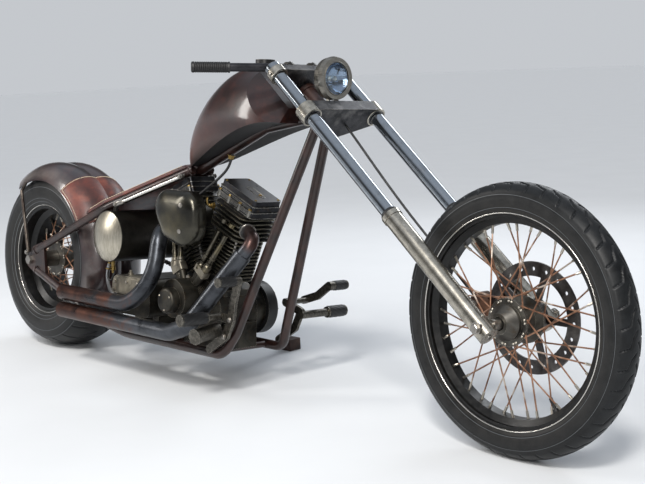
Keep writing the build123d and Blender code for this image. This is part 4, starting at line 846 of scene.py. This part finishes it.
def seat_width(x):
    """Half the seat's width at a place along its rails."""
    for (x0, w0), (x1, w1) in zip(SEAT_OUTLINE, SEAT_OUTLINE[1:]):
        if x <= x1:
            return w0 + (w1 - w0) * (x - x0) / (x1 - x0)
    return SEAT_OUTLINE[-1][1]


def seat_height(x, y):
    """Top of the seat over the rails: crowned, with a sewn line near its edge."""
    width = seat_width(x)
    near = min(width - abs(y), x - SEAT_BACK, SEAT_FRONT - x)
    crown = 12.5 + 4.5 * cos(min(1, abs(y) / width) * pi / 2)
    dip = -2.6 * exp(-((near - 13) / 2.6) ** 2) - 1.8 * exp(-(y / 3) ** 2)
    round_off = sqrt(max(0, 1 - max(0, 1 - near / 9) ** 2))
    wave = 0.5 * sin(x / 31) * cos(y / 43)
    return max(3, (crown + dip + wave) * (0.35 + 0.65 * round_off))


def seat():
    """The thin leather seat over the rails, with its edge stitches."""
    rows, steps = [], 92
    for i in range(steps + 1):
        x = SEAT_BACK + (SEAT_FRONT - SEAT_BACK) * i / steps
        ys = [seat_width(x) * sin(pi / 2 * (k / 24)) for k in range(-24, 25)]
        above = [(x, y, seat_height(x, y)) for y in ys]
        rows.append(above + [(x, y * 0.995, 0.2) for y in reversed(ys)])
    shape = Shape().slab(rows)
    pad = piece("leather_seat", shape, seat_hide, "seat_leather", SEAT, "frame", 50, ("seat_pad",))
    sewn = Shape()
    for side in (1, -1):
        for k in range(45):
            ends = []
            for x in (-92 + 9.5 * k, -86 + 9.5 * k):
                y = side * (seat_width(x) - 7)
                ends.append(Vector((x, y, seat_height(x, y) + 0.3)))
            middle = ends[0].lerp(ends[1], 0.5) + Vector((0, 0, 0.9))
            sewn.tube([ends[0], middle, ends[1]], [1.1, 1.5, 1.1], 6)
    piece("seat_stitches", sewn, thread, "seat_leather", SEAT, smooth=60)


seat()


# Wheel fittings


def spoke_ends(name, wheel, body, flange, hub_width, well, spread):
    """Nipples at the rim, and the spokes' heads on the hub's flanges."""
    nipples, heads = Shape(), Shape()
    head = [(0, -0.5), (3.6, -0.5), (3.4, 1.2), (2, 2.4), (0, 2.9)]
    for i in range(40):
        side, way = (1 if i % 2 else -1), (1 if i % 4 < 2 else -1)
        rim_turn = radians(9 * i)
        hub_turn = rim_turn + way * radians(49.5)
        start = Vector(round_y(flange, hub_turn, side * (hub_width / 2 - 3.5)))
        end = Vector(round_y(well, rim_turn, side * spread))
        run = (end - start).normalized()
        nipples.tube([end - run * back for back in (20, 18, 4, -1)], [2.7, 3.5, 3.5, 4.6], 8)
        spot = round_y(flange - 6, hub_turn, side * hub_width / 2)
        heads.lathe(head, 10, facing(spot, (0, side, 0)))
    piece(name + "_nipples", nipples, nickel, "spoke_steel", wheel, body)
    piece(name + "_spoke_heads", heads, nickel, "spoke_steel", wheel, body)


def valve_stem(name, wheel, body, well, turn):
    """A tyre valve through the rim's well."""
    spots = [round_y(well + out, radians(turn)) for out in (3, -9, -10, -27, -28, -38)]
    shape = Shape().tube(spots, [7.5, 7.5, 4, 4, 5.2, 4.6], 14)
    piece(name, shape, black_rubber, "tyre_rubber", wheel, body)


def ring_bolts(shape, count, radius, y, size, phase=0, head=hex_bolt):
    """Bolts in a ring round a wheel's axle."""
    for turn in turns(count, phase):
        head(shape, round_y(radius, turn, y), (0, 1, 0), size)


def rim_lips(name, wheel, body, flange, half):
    """The rim's two rubbed lips, bare metal against the tyre."""
    shape = Shape()
    for side in (1, -1):
        loop = [polar(1.9, turn, flange, side * half) for turn in turns(8)]
        shape.lathe(loop, 180, ALONG_Y, closed=True)
    piece(name, shape, rim_lip, "rim_black", wheel, body, 60)


def wheel_fittings():
    """Lips, spoke ends and valves of both wheels, then their bolts and the front axle's nuts."""
    for end, wheel, lip, hub, well, spread, valve in (
        ("front", FRONT, (273.5, 39.6), (61, 76), 246.7, 6, -58.5),
        ("rear", REAR, (201, 96.5), (66, 110), 166.5, 14, 130.5),
    ):
        body = end + "_wheel"
        rim_lips(end + "_rim_lips", wheel, body, *lip)
        spoke_ends(end, wheel, body, *hub, well, spread)
        valve_stem(end + "_valve", wheel, body, well, valve)
    disc, sprocket, nuts = Shape(), Shape(), Shape()
    ring_bolts(disc, 5, 38, 69, 5.5)
    ring_bolts(disc, 5, 117, 69, 3.6, head=dome_bolt)
    piece("disc_bolts", disc, steel, "axle_steel", FRONT, "front_wheel")
    ring_bolts(sprocket, 6, 36, 135, 6.5, 0.3)
    piece("sprocket_bolts", sprocket, steel, "axle_steel", REAR, "rear_wheel")
    for side in (1, -1):
        hex_bolt(nuts, (0, side * 156.5, 0), (0, side, 0), 12, 9)
    piece("front_axle_nuts", nuts, steel, "axle_steel", FRONT, "steering")


CHAIN_PITCH, CHAIN_Y = 15.875, 131


def chain_path():
    """Upright places along the chain's loop, one at each pin."""
    small, large = Vector(SHAFT), Vector((0, REAR_RADIUS))
    near, far = 54.5, 112.5
    between = small - large
    base, lean = atan2(between.y, between.x), acos((far - near) / between.length)
    flat = sqrt(between.length_squared - (far - near) ** 2)
    runs = [flat, near * 2 * lean, flat, far * (2 * pi - 2 * lean)]
    count = 2 * round(sum(runs) / CHAIN_PITCH / 2)
    above, below = Vector(polar(1, base + lean)), Vector(polar(1, base - lean))
    places = []
    ends = [sum(runs[:k + 1]) for k in range(3)]
    for s in (sum(runs) * i / count for i in range(count)):
        if s < ends[0]:
            spot = (large + above * far).lerp(small + above * near, s / flat)
        elif s < ends[1]:
            spot = small + Vector(polar(near, base + lean - (s - ends[0]) / near))
        elif s < ends[2]:
            spot = (small + below * near).lerp(large + below * far, (s - ends[1]) / flat)
        else:
            spot = large + Vector(polar(far, base - lean - (s - ends[2]) / far))
        places.append(spot)
    return places


def chain():
    """Roller chain: paired plates between the pins, with rollers."""
    plates, rollers = Shape(), Shape()
    roller = [(0, -6.4), (2.3, -6.4), (2.3, -3), (4.8, -3)]
    roller += [(r, -y) for r, y in reversed(roller)]
    places = chain_path()
    for i, a in enumerate(places):
        run = places[(i + 1) % len(places)] - a
        ring = []
        for centre, start in ((0, 50), (run.length, -130)):
            ring += [polar(6.6, radians(start + 260 * k / 8), centre) for k in range(9)]
        run.normalize()
        u, w = Vector((run.x, 0, run.y)), Vector((0, 1, 0))
        at = Matrix((u, w.cross(u), w)).transposed().to_4x4()
        inner = 4.5 if i % 2 else 3
        for base in (inner, -inner - 1.4):
            plates.prism(ring, 1.4, move(a.x, CHAIN_Y + base, a.y) @ at)
        rollers.lathe(roller, 12, move(a.x, CHAIN_Y, a.y) @ ALONG_Y)
    piece("chain_plates", plates, chain_steel, "chain_steel", stand_for=("drive_chain",))
    piece("chain_rollers", rollers, steel, "chain_steel")


wheel_fittings()
chain()


# Bar, lamp and fork


def ribbed_grips():
    """Black rubber grips with rings and a flange at each end."""
    middle = FORK_PLANE @ Vector((BAR_X, 0, BAR_Z))
    shape = Shape()
    outline = [(0, 112), (12, 112), (15, 110.5), (16.1, 107.5), (16.1, 103), (14.6, 101.5)]
    for low in (100 - k * 6.2 for k in range(15)):
        outline += [(15.7, low), (15.7, low - 3.4), (14.4, low - 4.4)]
    outline += [(16.1, 4), (16.1, 0.5), (12.6, 0)]
    for side in (1, -1):
        sweep = Vector((-128, side * 190, 0)).normalized()
        end = Vector((middle.x - 128, side * 300, middle.z))
        shape.lathe(outline, 32, facing(end - sweep * 108, sweep))
    piece("ribbed_grips", shape, black_rubber, "grip_rubber", STEERED, "steering", 35, ("grips",))


def riser_clamps():
    """Split clamps that hold the bar on its risers, with their screws."""
    clamps, screws = Shape(), Shape()
    clamp = [(12.6, -12), (17, -12), (18.2, -10), (18.2, 10), (17, 12), (12.6, 12)]
    for y in (45, -45):
        clamps.lathe(clamp, 28, move(BAR_X, y, BAR_Z) @ ALONG_Y, closed=True)
        for x in (-15.5, 15.5):
            dome_bolt(screws, (BAR_X + x, y, BAR_Z + 5.4), (0, 0, 1), 4.2, 4.6)
    piece("riser_clamps", clamps, dark_steel, "bar_steel", FORK, "steering")
    piece("riser_screws", screws, steel, "axle_steel", FORK, "steering")


def lamp():
    """Reflector, bulb, fluted glass and the bezel's rings."""
    at = STEERED @ Matrix.Translation(FORK_PLANE @ Vector((55.5, 0, 902.5))) @ rotation(pi / 2, "Y")
    bowl = [(45.6, -6), (42, -11), (36, -17), (28, -22.5), (18, -26.8), (9, -29), (0, -29.4)]
    bowl += [(0, -29.9), (46, -29.9)]
    lit = [(0, -29), (6.5, -29), (6.5, -21), (8.2, -17), (8.6, -13), (7, -9), (4, -7.2), (0, -6.6)]
    glass_radius, rings, thick, flutes = 46, 22, 2.4, 9
    face = []
    for r in (glass_radius * j / rings for j in range(rings + 1)):
        ring = []
        for x, y in (polar(r, turn) for turn in turns(96)):
            flute = 0.35 * cos(y / glass_radius * pi * flutes) * (1 - (r / glass_radius) ** 6)
            ring.append((x, y, 2 - 6 * (r / glass_radius) ** 2 + flute))
        face.append(ring)
    behind = [[(x, y, z - thick) for x, y, z in ring] for ring in face]
    glass = Shape()
    for rows in (face, behind[::-1], [face[-1], behind[-1]]):
        glass.grid(rows, around=True)
    bezel, screw = Shape(), Shape()
    for radius, height, size in ((47.6, 0.2, 1.8), (61.4, -12, 1.7)):
        bezel.lathe([polar(size, turn, radius, height) for turn in turns(10)], 72, closed=True)
    hex_bolt(screw, (62, 0, -7), (1, 0, 0), 4)
    place, reflector = (at, "steering"), Shape().lathe(bowl, 56)
    piece("lamp_reflector", reflector, sky_tint_mirror, "fork_chrome", *place, 50, ("lamp_lens",))
    piece("lamp_bulb", Shape().lathe(lit, 24), bulb_glass, "lens_glass", *place)
    piece("lamp_glass", glass, lens_glass, "lens_glass", *place, 60)
    piece("lamp_rings", bezel, lamp_alloy, "slider_alloy", *place)
    piece("bezel_screw", screw, steel, "axle_steel", *place)


def fork_fittings():
    """Seals, caps, pinch bolts, caliper bolts and the turned rings of both yokes."""
    seals, bolts, caps, rings = Shape(), Shape(), Shape(), Shape()
    seal = [(20.7, 406), (25.2, 406), (25.6, 412), (24, 416), (22, 419), (20.7, 419)]
    for y in (TUBE_SPREAD, -TUBE_SPREAD):
        at, out = move(TUBE_BACK, y, 0), copysign(1, y)
        seals.lathe(seal, 36, at, closed=True)
        hex_bolt(caps, (TUBE_BACK, y, 1031), (0, 0, 1), 12.5, 6.5, washer=False, spin=0.2)
        for z, size in ((816, 5), (834, 5), (999, 4.6)):
            dome_bolt(bolts, (TUBE_BACK, y + out * 30, z), (0, out, 0), size)
        dome_bolt(bolts, (16.3, y, 22), (1, 0, 0), 5)
        dome_bolt(bolts, (TUBE_BACK, y, -26), (0, 0, -1), 8)
        for radius, low, high in ((30, 804.5, 845.5), (27, 986.5, 1011.5)):
            outline = [(radius - 4, low), (radius, low), (radius + 0.9, low + 1.2)]
            outline += [(r, low + high - z) for r, z in reversed(outline)]
            rings.lathe(outline, 48, at, closed=True)
    for z in (90, 146):
        hex_bolt(bolts, (-98, 89.5, z), (0, 1, 0), 7)
        hex_bolt(bolts, (-98, 43.5, z), (0, -1, 0), 7)
    hex_bolt(bolts, (-AXIS_OFFSET, 0, 1010), (0, 0, 1), 15, 9)
    for name, shape, look, slot in (
        ("fork_seals", seals, black_rubber, "grip_rubber"),
        ("fork_caps", caps, chrome, "fork_chrome"),
        ("fork_bolts", bolts, steel, "axle_steel"),
        ("yoke_rings", rings, slider_alloy, "yoke_iron"),
    ):
        piece(name, shape, look, slot, FORK, "steering")


ribbed_grips()
riser_clamps()
lamp()
fork_fittings()


# Engine fittings


def rocker_trim():
    """Gasket lines, side ribs, brass bolts, and on each rocker box's top a thin black sheet as the
    painted shade of its slot.
    """
    for name, plane in zip(("front", "rear"), CYLINDERS):
        lines, bolts, dark = Shape(), Shape(), Shape()
        for z, half_x, half_y in ((378, 93, 61), (396, 93, 61), (414, 90, 58)):
            lines.prism(rounded(half_x + 1.2, half_y + 1.2, 14), 1.8, move(0, 0, z - 0.9))
        for z in (384, 388, 392, 402, 406.5):
            half = 61 if z < 396 else 58
            for side in (1, -1):
                lines.tube([(-76, side * half, z), (76, side * half, z)], 1.1, 6)
        for x in (-78, -27, 27, 78):
            for side in (1, -1):
                lines.lathe([(0, 0), (7, 0), (7, 22.5), (0, 22.5)], 16, move(x, side * 59, 378))
                hex_bolt(bolts, (x, side * 59.5, 400.5), (0, 0, 1), 5.4, 4.6)
        for x in (-75.2, 75.2):
            for y in (-45.12, 45.12):
                dome_bolt(bolts, (x, y, 432), (0, 0, 1), 4.4)
        # The slot is a thin black sheet on the top, a painted shade for its depth.
        slot = [(x + 18, y) for x, y in rounded(40, 12, 12)]
        dark.prism(slot, 0.5, move(0, 0, 431.8))
        lines.tube([(x, y, 432.2) for x, y in slot], 1.5, 8, closed=True)
        hex_bolt(bolts, (40, 0, 432.2), (0, 0, 1), 5, 3)
        piece(name + "_rocker_lines", lines, rocker_edge, "rocker_metal", plane)
        piece(name + "_rocker_bolts", bolts, brass, "axle_steel", plane)
        piece(name + "_rocker_slot_shade", dark, black_paint, "rocker_metal", plane)


def head_fittings():
    """Head studs, the front pipe's flange and the brass union on the front head."""
    studs, union = Shape(), Shape()
    planes = [BIKE.inverted() @ plane for plane in CYLINDERS]
    for plane in planes:
        for x, y in ((-52, -52), (-52, 52), (52, -52), (52, 52)):
            studs.tube([plane @ Vector((x, y, 150)), plane @ Vector((x, y, 290))], 4, 8)
    port, bend = Vector((1100, -50, 512)), Vector((1196, -98, 486))
    run = (bend - port).normalized()
    flange = [(22.2, -3), (25, -3), (26, -2), (26, 2), (25, 3), (22.2, 3)]
    studs.lathe(flange, 28, facing(port + run * 26, run), closed=True)
    spot, out = planes[0] @ Vector((-70, -75, 346)), (-0.25, -1, 0.1)
    hex_bolt(union, spot, out, 9.5, 8)
    hex_bolt(union, spot + Vector((-3, -9, 0.8)), out, 6.5, 7)
    elbow = [spot + Vector(p) for p in ((-4, -14, 1), (-7, -19, 4), (-9, -20, 14), (-9, -19, 26))]
    union.tube(elbow, [4.2, 4.2, 3.6, 3.6], 12)
    piece("head_studs", studs, steel, "engine_alloy")
    piece("brass_union", union, brass, "axle_steel")


FUEL_HOSE = [
    (1020, -40, 742), (1008, -48, 700), (985, -62, 668),
    (948, -80, 634), (916, -94, 604), (905, -98, 572),
]
OIL_HOSE = [
    (498, -140, 372), (492, -146, 338), (490, -146, 300),
    (494, -136, 262), (512, -116, 236), (526, -104, 230),
]
DRAIN_LOOP = [
    (512, -148, 356), (504, -154, 330), (508, -156, 308),
    (519, -152, 304), (526, -148, 318), (524, -140, 342),
]


def hoses():
    """The fuel hose from the tank, and the oil tank's hose, drain and its loop."""
    black, metal, cock = Shape(), Shape(), Shape()
    black.tube(smooth_path(FUEL_HOSE), 4.2, 12)
    metal.tube(smooth_path(OIL_HOSE), 6, 14)
    black.tube(smooth_path(DRAIN_LOOP), 3.2, 10)
    for z, size in ((366, 9), (352, 7.5)):
        hex_bolt(cock, (498, -141, z), (0, 0, -1), size, 9)
    drain = [(0, 372), (6.5, 372), (6.5, 350), (8.5, 348), (8.5, 338), (5, 336), (5, 328), (0, 328)]
    cock.lathe(drain, 18, move(522, -146, 0))
    cock.tube([(522, -152, 343), (522, -168, 343)], [3, 2.6], 10)
    cock.tube([(514, -167, 343), (530, -167, 343)], 3.2, 10)
    hex_bolt(cock, (1016, -42, 738), (-0.2, -0.1, -1), 10, 12)
    piece("rubber_hoses", black, black_rubber, "grip_rubber")
    piece("oil_hose", metal, braid, "axle_steel")
    piece("brass_cocks", cock, brass, "axle_steel")


def side_plane(y):
    """Axes for an outline of (x, z) raised towards the right side from y."""
    return Matrix(((1, 0, 0, 0), (0, 0, -1, y), (0, 1, 0, 0), (0, 0, 0, 1)))


def case_trim():
    """Gearbox cover, cam cover screws, tappet blocks and collars."""
    cover, bolts, blocks, collars, ribs = Shape(), Shape(), Shape(), Shape(), Shape()
    outer = [(472, 256), (474, 292), (484, 310), (500, 317.5), (636, 319), (648, 310), (650, 256)]
    inner = [(480, 262), (482, 288), (491, 303), (504, 310), (632, 311), (641, 304), (642, 262)]
    cover.prism(outer, 53, side_plane(-64))
    cover.prism(inner, 57, side_plane(-64))
    for x, z in ((497, 295), (566, 299), (628, 298), (492, 268)):
        hex_bolt(bolts, (x, -121, z), (0, -1, 0), 5, 4)
    cover.lathe([(0, 0), (9, 0), (9, 9), (5, 10), (5, 18), (0, 18)], 16, move(542, -88, 318))
    for x, z in ((924, 281), (868, 345.5), (806, 262)):
        hex_bolt(bolts, (x, -92, z), (0, -1, 0), 5.6, 4.6)
    for turn in (0.5, 2.6, 4.7):
        dome_bolt(bolts, round_y(30, turn, -184, 865, 274), (0, -1, 0), 3.6)
    rib = [(880, 330), (898, 347), (938, 312), (950, 282), (926, 276)]
    for i in range(6):
        ribs.prism(rib, 2.6, side_plane(-54 - 7 * i))
    middle = Vector((868, -92, 280))
    ring = [(9, -16), (14, -16), (15, -13), (15, 4), (12, 8), (12, 16), (9, 17)]
    lower = [(8.6, 34), (11, 34), (11, 40), (8.6, 40)]
    upper = [(8.6, 4), (12.5, 4), (12.5, 16), (8.6, 18)]
    feet = ((968, 385), (938, 390), (826, 390), (798, 384))
    heads = ((1072, 532), (1034, 545), (804, 545), (768, 532))
    for (fx, fz), (hx, hz) in zip(feet, heads):
        foot, head = Vector((fx, -92, fz)), Vector((hx, -75, hz))
        rise = (head - foot).normalized()
        (blocks if fx < middle.x else collars).lathe(ring, 24, facing(foot, rise), closed=True)
        collars.lathe(lower, 20, facing(foot, rise), closed=True)
        collars.lathe(upper, 20, facing(head, -rise), closed=True)
    for x, z in ((812, 387), (953, 387.5)):
        mid, side = Vector((x, -92, z)), Vector((0, 1, 0))
        down = (mid - middle).normalized()
        at = Matrix((side.cross(down), side, down)).transposed().to_4x4()
        blocks.prism(rounded(27, 15, 6), 24, Matrix.Translation(mid - down * 32) @ at)
        dome_bolt(bolts, mid - down * 8, down, 4.2)
    piece("gearbox_cover", cover, light_cast, "engine_alloy")
    piece("case_bolts", bolts, nickel, "axle_steel")
    piece("tappet_blocks", blocks, light_cast, "engine_alloy")
    piece("tube_collars", collars, pushrod_metal, "engine_alloy")
    piece("case_ribs", ribs, engine_alloy, "engine_alloy")


CLEANER_LOBES = ((-52, 25, 58), (48, 20, 60), (38, -27, 72), (-18, -20, 64))


def cleaner_reach(turn):
    """How far the hull of the air cleaner's four lobes reaches from its middle in a direction."""
    reaches = []
    for step in range(-84, 85, 2):
        x, z = polar(1, turn + radians(step))
        support = max(a * x + b * z + radius for a, b, radius in CLEANER_LOBES)
        reaches.append(support / cos(radians(step)))
    return min(reaches)


def air_cleaner():
    """A softly domed cover with a rolled front edge and two screws."""
    count, full, power = 120, 0.985, 3.1
    edge, depth = -142, 51.5
    x, z = AIR_CLEANER
    reach = [cleaner_reach(turn) for turn in turns(count)]
    for _ in range(3):
        reach = [(reach[i - 1] + 2 * reach[i] + reach[(i + 1) % count]) / 4 for i in range(count)]
    rows = [(0, -128), (0.94, -128), (0.97, -129.5), (full, edge)]
    for k in range(1, 25):
        rows.append((full * (1 - (k / 24) ** power) ** (1 / power), edge - depth * k / 24))
    mesh = []
    for share, y in rows:
        mesh.append([round_y(share * r, turn, y, x, z) for r, turn in zip(reach, turns(count))])
    cover, screws = Shape().grid(mesh, around=True), Shape()
    head = [(0, 0), (7.5, 0), (7, 1.8), (5, 2.2), (4.4, 0.9), (0, 1.1)]
    for across, up in ((54.2, 36.1), (48, -44.7)):
        turn = atan2(up, across) % (2 * pi)
        share = hypot(across, up) / reach[int(turn / (2 * pi) * count)] / full
        y = edge - depth * (1 - share ** power) ** (1 / power)
        out = (cos(turn) * 0.28, -1, sin(turn) * 0.28)
        screws.lathe(head, 20, facing((x + across, y + 0.4, z + up), out))
    piece(
        "air_cleaner_cover", cover, cleaner_alloy, "cleaner_metal",
        smooth=50, stand_for=("air_cleaner",),
    )
    piece("cleaner_screws", screws, steel, "axle_steel")


def primary_trim():
    """Screws round the primary cover and its clutch lid."""
    shape, out, lid = Shape(), (0, 1, 0), PRIMARY_FACE + 5
    crank = (CRANK[0], CRANK[2])
    for k in range(5):
        dome_bolt(shape, round_y(76, radians(-80 + 40 * k), PRIMARY_FACE, *crank), out, 5)
        dome_bolt(shape, round_y(84, radians(100 + 40 * k), PRIMARY_FACE, *SHAFT), out, 5)
        dome_bolt(shape, round_y(54, radians(90 + 72 * k), lid, *SHAFT), out, 4.2)
    for x, z in ((690, 320), (690, 170), (780, 312), (780, 168)):
        dome_bolt(shape, (x, PRIMARY_FACE, z), out, 5)
    ring = [(57, 0), (60, 0), (60, 2.2), (57, 2.2)]
    shape.lathe(ring, 56, facing((SHAFT[0], lid - 0.5, SHAFT[1]), out), closed=True)
    piece("primary_screws", shape, steel, "axle_steel")


rocker_trim()
head_fittings()
hoses()
case_trim()
air_cleaner()
primary_trim()


# Foot controls


def sleeve(shape, x, z, start, end, radius):
    """A rubber sleeve with a slanted rib pattern round a peg."""
    rows, way, length = [], copysign(1, end - start), abs(end - start) - 3
    for k in range(37):
        y, swell = start + way * (1.5 + length * k / 36), 1.6 if 2 <= k <= 34 else 0.4
        cuts = [(turn, 0.9 * max(0, sin(9 * turn + k * 0.62))) for turn in turns(60)]
        rows.append([round_y(radius + swell - cut, turn, y, x, z) for turn, cut in cuts])
    shape.grid(rows, around=True)
    for row in (rows[0], rows[-1]):
        inner = [(x + (a - x) * 0.9, y, z + (b - z) * 0.9) for a, y, b in row]
        shape.grid([row, inner], around=True)


def control_fittings():
    """Rubbers on the pegs and pedals, and the controls' pivot bolts."""
    rubber, pins = Shape(), Shape()
    sleeve(rubber, 1100, 250, -202, -296, 18)
    sleeve(rubber, 1178, 366, -155, -218, 14.5)
    sleeve(rubber, 1156, 236, 252, 326, 18)
    sleeve(rubber, 1178, 324, 254, 310, 14.5)
    piece("peg_rubbers", rubber, black_rubber, "grip_rubber", smooth=60)
    for x, z in ((1150, 246), (1124, 192)):
        for side in (-1, 1):
            hex_bolt(pins, (x, side * 150.5, z), (0, side, 0), 7.5, 5)
    hex_bolt(pins, (1178, 245, 324), (0, -1, 0), 6, 4)
    piece("control_bolts", pins, steel, "axle_steel")


control_fittings()


# Frame


def weld(shape, centre, direction, radius, thick=2.2):
    """A rippled bead round a tube."""
    path = []
    for turn in turns(72):
        ripple = sin(turn * 18)
        spot = Vector((*polar(radius + 0.5 * ripple, turn), 0.6 * ripple))
        path.append(facing(centre, direction) @ spot)
    shape.tube(path, thick, 6, closed=True)


def struts():
    """The polished struts beside the seat rails, with their end fittings."""
    bars, ends = Shape(), Shape()
    cup = [(0, -6.5), (8, -6.5), (10, -4.5), (10, 28), (8.4, 30.5), (6, 30.5)]
    plug = [(6, -10), (8, -9), (8, 3), (6.5, 4.5), (0, 4.5)]
    for side in (1, -1):
        flip, off = Vector((1, side, 1)), Vector((0, side * 22, -12))
        a, b = RAIL_REAR.lerp(RAIL_FRONT, 0.2) * flip, RAIL_REAR.lerp(RAIL_FRONT, 0.93) * flip
        run = (b - a).normalized()
        bars.tube([a + off + run * 24, b + off], 6, 24)
        ends.lathe(cup, 24, facing(a + off, run))
        ends.lathe(plug, 24, facing(b + off, run))
        for end in (a, b):
            ends.tube([end, end + off], 4, 12)
            hex_bolt(ends, end + off + Vector((0, side * 9, 0)), (0, side, 0), 6.5, 4)
    piece("strut_bars", bars, strut_polish, "fork_chrome", stand_for=("seat_struts",))
    piece("strut_ends", ends, steel, "axle_steel")


def oil_tank_ends():
    """Brushed domes on the drum's ends, with their rolled rims."""
    domes, rims = Shape(), Shape()
    ball = (86 ** 2 + 22 ** 2) / (2 * 22)
    dome = [(r, sqrt(ball ** 2 - r ** 2) - ball + 22.5) for r in (85.9 * k / 14 for k in range(15))]
    rim = [(85.4 + 1.6 * cos(turn), 0.4 + 1.9 * sin(turn)) for turn in turns(8)]
    for side in (1, -1):
        at = facing((OIL_DRUM[0], side * 160, OIL_DRUM[1]), (0, side, 0))
        domes.lathe(dome, 72, at)
        rims.lathe(rim, 72, at, closed=True)
    piece("oil_tank_domes", domes, oil_end, "oil_steel")
    piece("oil_tank_rims", rims, oil_body, "oil_steel")


def frame_fittings():
    """Weld beads at the rails' ends, and the fender stays' bolts."""
    beads, bolts = Shape(), Shape()
    for side in (1, -1):
        weld(beads, (45, side * 155, 294), (1, 0, -0.35), 15.4)
        weld(beads, (805, side * 36.5, 682), (0.9, -side * 0.28, 0.37), 14.6)
        weld(beads, (40, side * 154.6, 366), (0.9, -side * 0.02, 0.38), 14.6)
        hex_bolt(bolts, (-4, side * 172, 356), (0, side, 0), 8, 6)
    piece("weld_beads", beads, tube_patina, "frame_paint")
    piece("stay_bolts", bolts, steel, "axle_steel")


struts()
oil_tank_ends()
frame_fittings()


# Light, floor and world


def light(kind, power, tint, aim, spot=(0, 0, 0), **sizes):
    """A lamp at a spot whose light travels along a direction."""
    data = bpy.data.lights.new(kind.lower(), kind)
    data.energy, data.color = power, tint
    for name, value in sizes.items():
        setattr(data, name, value)
    obj = bpy.data.objects.new(kind.lower(), data)
    turn = Vector(aim).to_track_quat("-Z", "Y").to_matrix().to_4x4()
    obj.matrix_world = Matrix.Translation(spot) @ turn
    bpy.context.scene.collection.objects.link(obj)


def area_light(spot, target, size, power, tint):
    """A soft panel that looks from a spot at a target."""
    run = Vector(target) - Vector(spot)
    light("AREA", power, tint, run, spot, shape="RECTANGLE", size=size[0], size_y=size[1])


def set_world():
    """A pale horizon under a darker wall and a soft ceiling, which the metal reflects."""
    world = bpy.data.worlds.new("studio")
    bpy.context.scene.world = world
    world.use_nodes = True
    tree = world.node_tree
    tree.nodes.clear()
    kinds = ("TexCoord", "SeparateXYZ", "ValToRGB", "Background", "OutputWorld")
    coords, split, ramp, soft, out = (tree.nodes.new("ShaderNode" + kind) for kind in kinds)
    horizon = (0.558, 0.58, 0.611)
    levels = [(0, horizon), (0.14, horizon), (0.24, (0.09, 0.09, 0.09))]
    levels += [(0.48, (0.08, 0.085, 0.09)), (0.72, (0.5, 0.54, 0.6)), (1, (0.62, 0.67, 0.75))]
    while len(ramp.color_ramp.elements) < len(levels):
        ramp.color_ramp.elements.new(0.5)
    for element, (place, tone) in zip(ramp.color_ramp.elements, levels):
        element.position = place
        element.color = (*tone, 1)
    tree.links.new(coords.outputs["Generated"], split.inputs[0])
    tree.links.new(split.outputs["Z"], ramp.inputs[0])
    tree.links.new(ramp.outputs[0], soft.inputs["Color"])
    tree.links.new(soft.outputs[0], out.inputs["Surface"])


def set_stage():
    """A far pale floor, a soft sun and three soft panels."""
    light("SUN", 1.7, (1, 0.97, 0.93), (-0.42, 0.62, -0.9), angle=radians(9))
    area_light((2.4, -3, 2.6), (0, 0, 0.5), (0.7, 2.4), 105, (1, 0.98, 0.95))
    area_light((-2.6, -2.4, 2.2), (-0.3, 0, 0.5), (0.6, 2), 60, (1, 0.97, 0.93))
    area_light((-0.6, 3.2, 2.6), (0, 0, 0.5), (2.6, 0.8), 45, (0.93, 0.96, 1))
    set_world()
    look = Look("floor_pale", "d4d6d8")
    look.tint("dadcde", look.noise(3, 3, 0.5))
    data = bpy.data.meshes.new("floor")
    corners = [(60 * x, 60 * y, 0) for x, y in ((-1, -1), (1, -1), (1, 1), (-1, 1))]
    data.from_pydata(corners, [], [(0, 1, 2, 3)])
    data.materials.append(look.finish(0.85))
    floor = bpy.data.objects.new("floor", data)
    bpy.context.scene.collection.objects.link(floor)
    bpy.context.scene.view_settings.view_transform = "Standard"


set_stage()
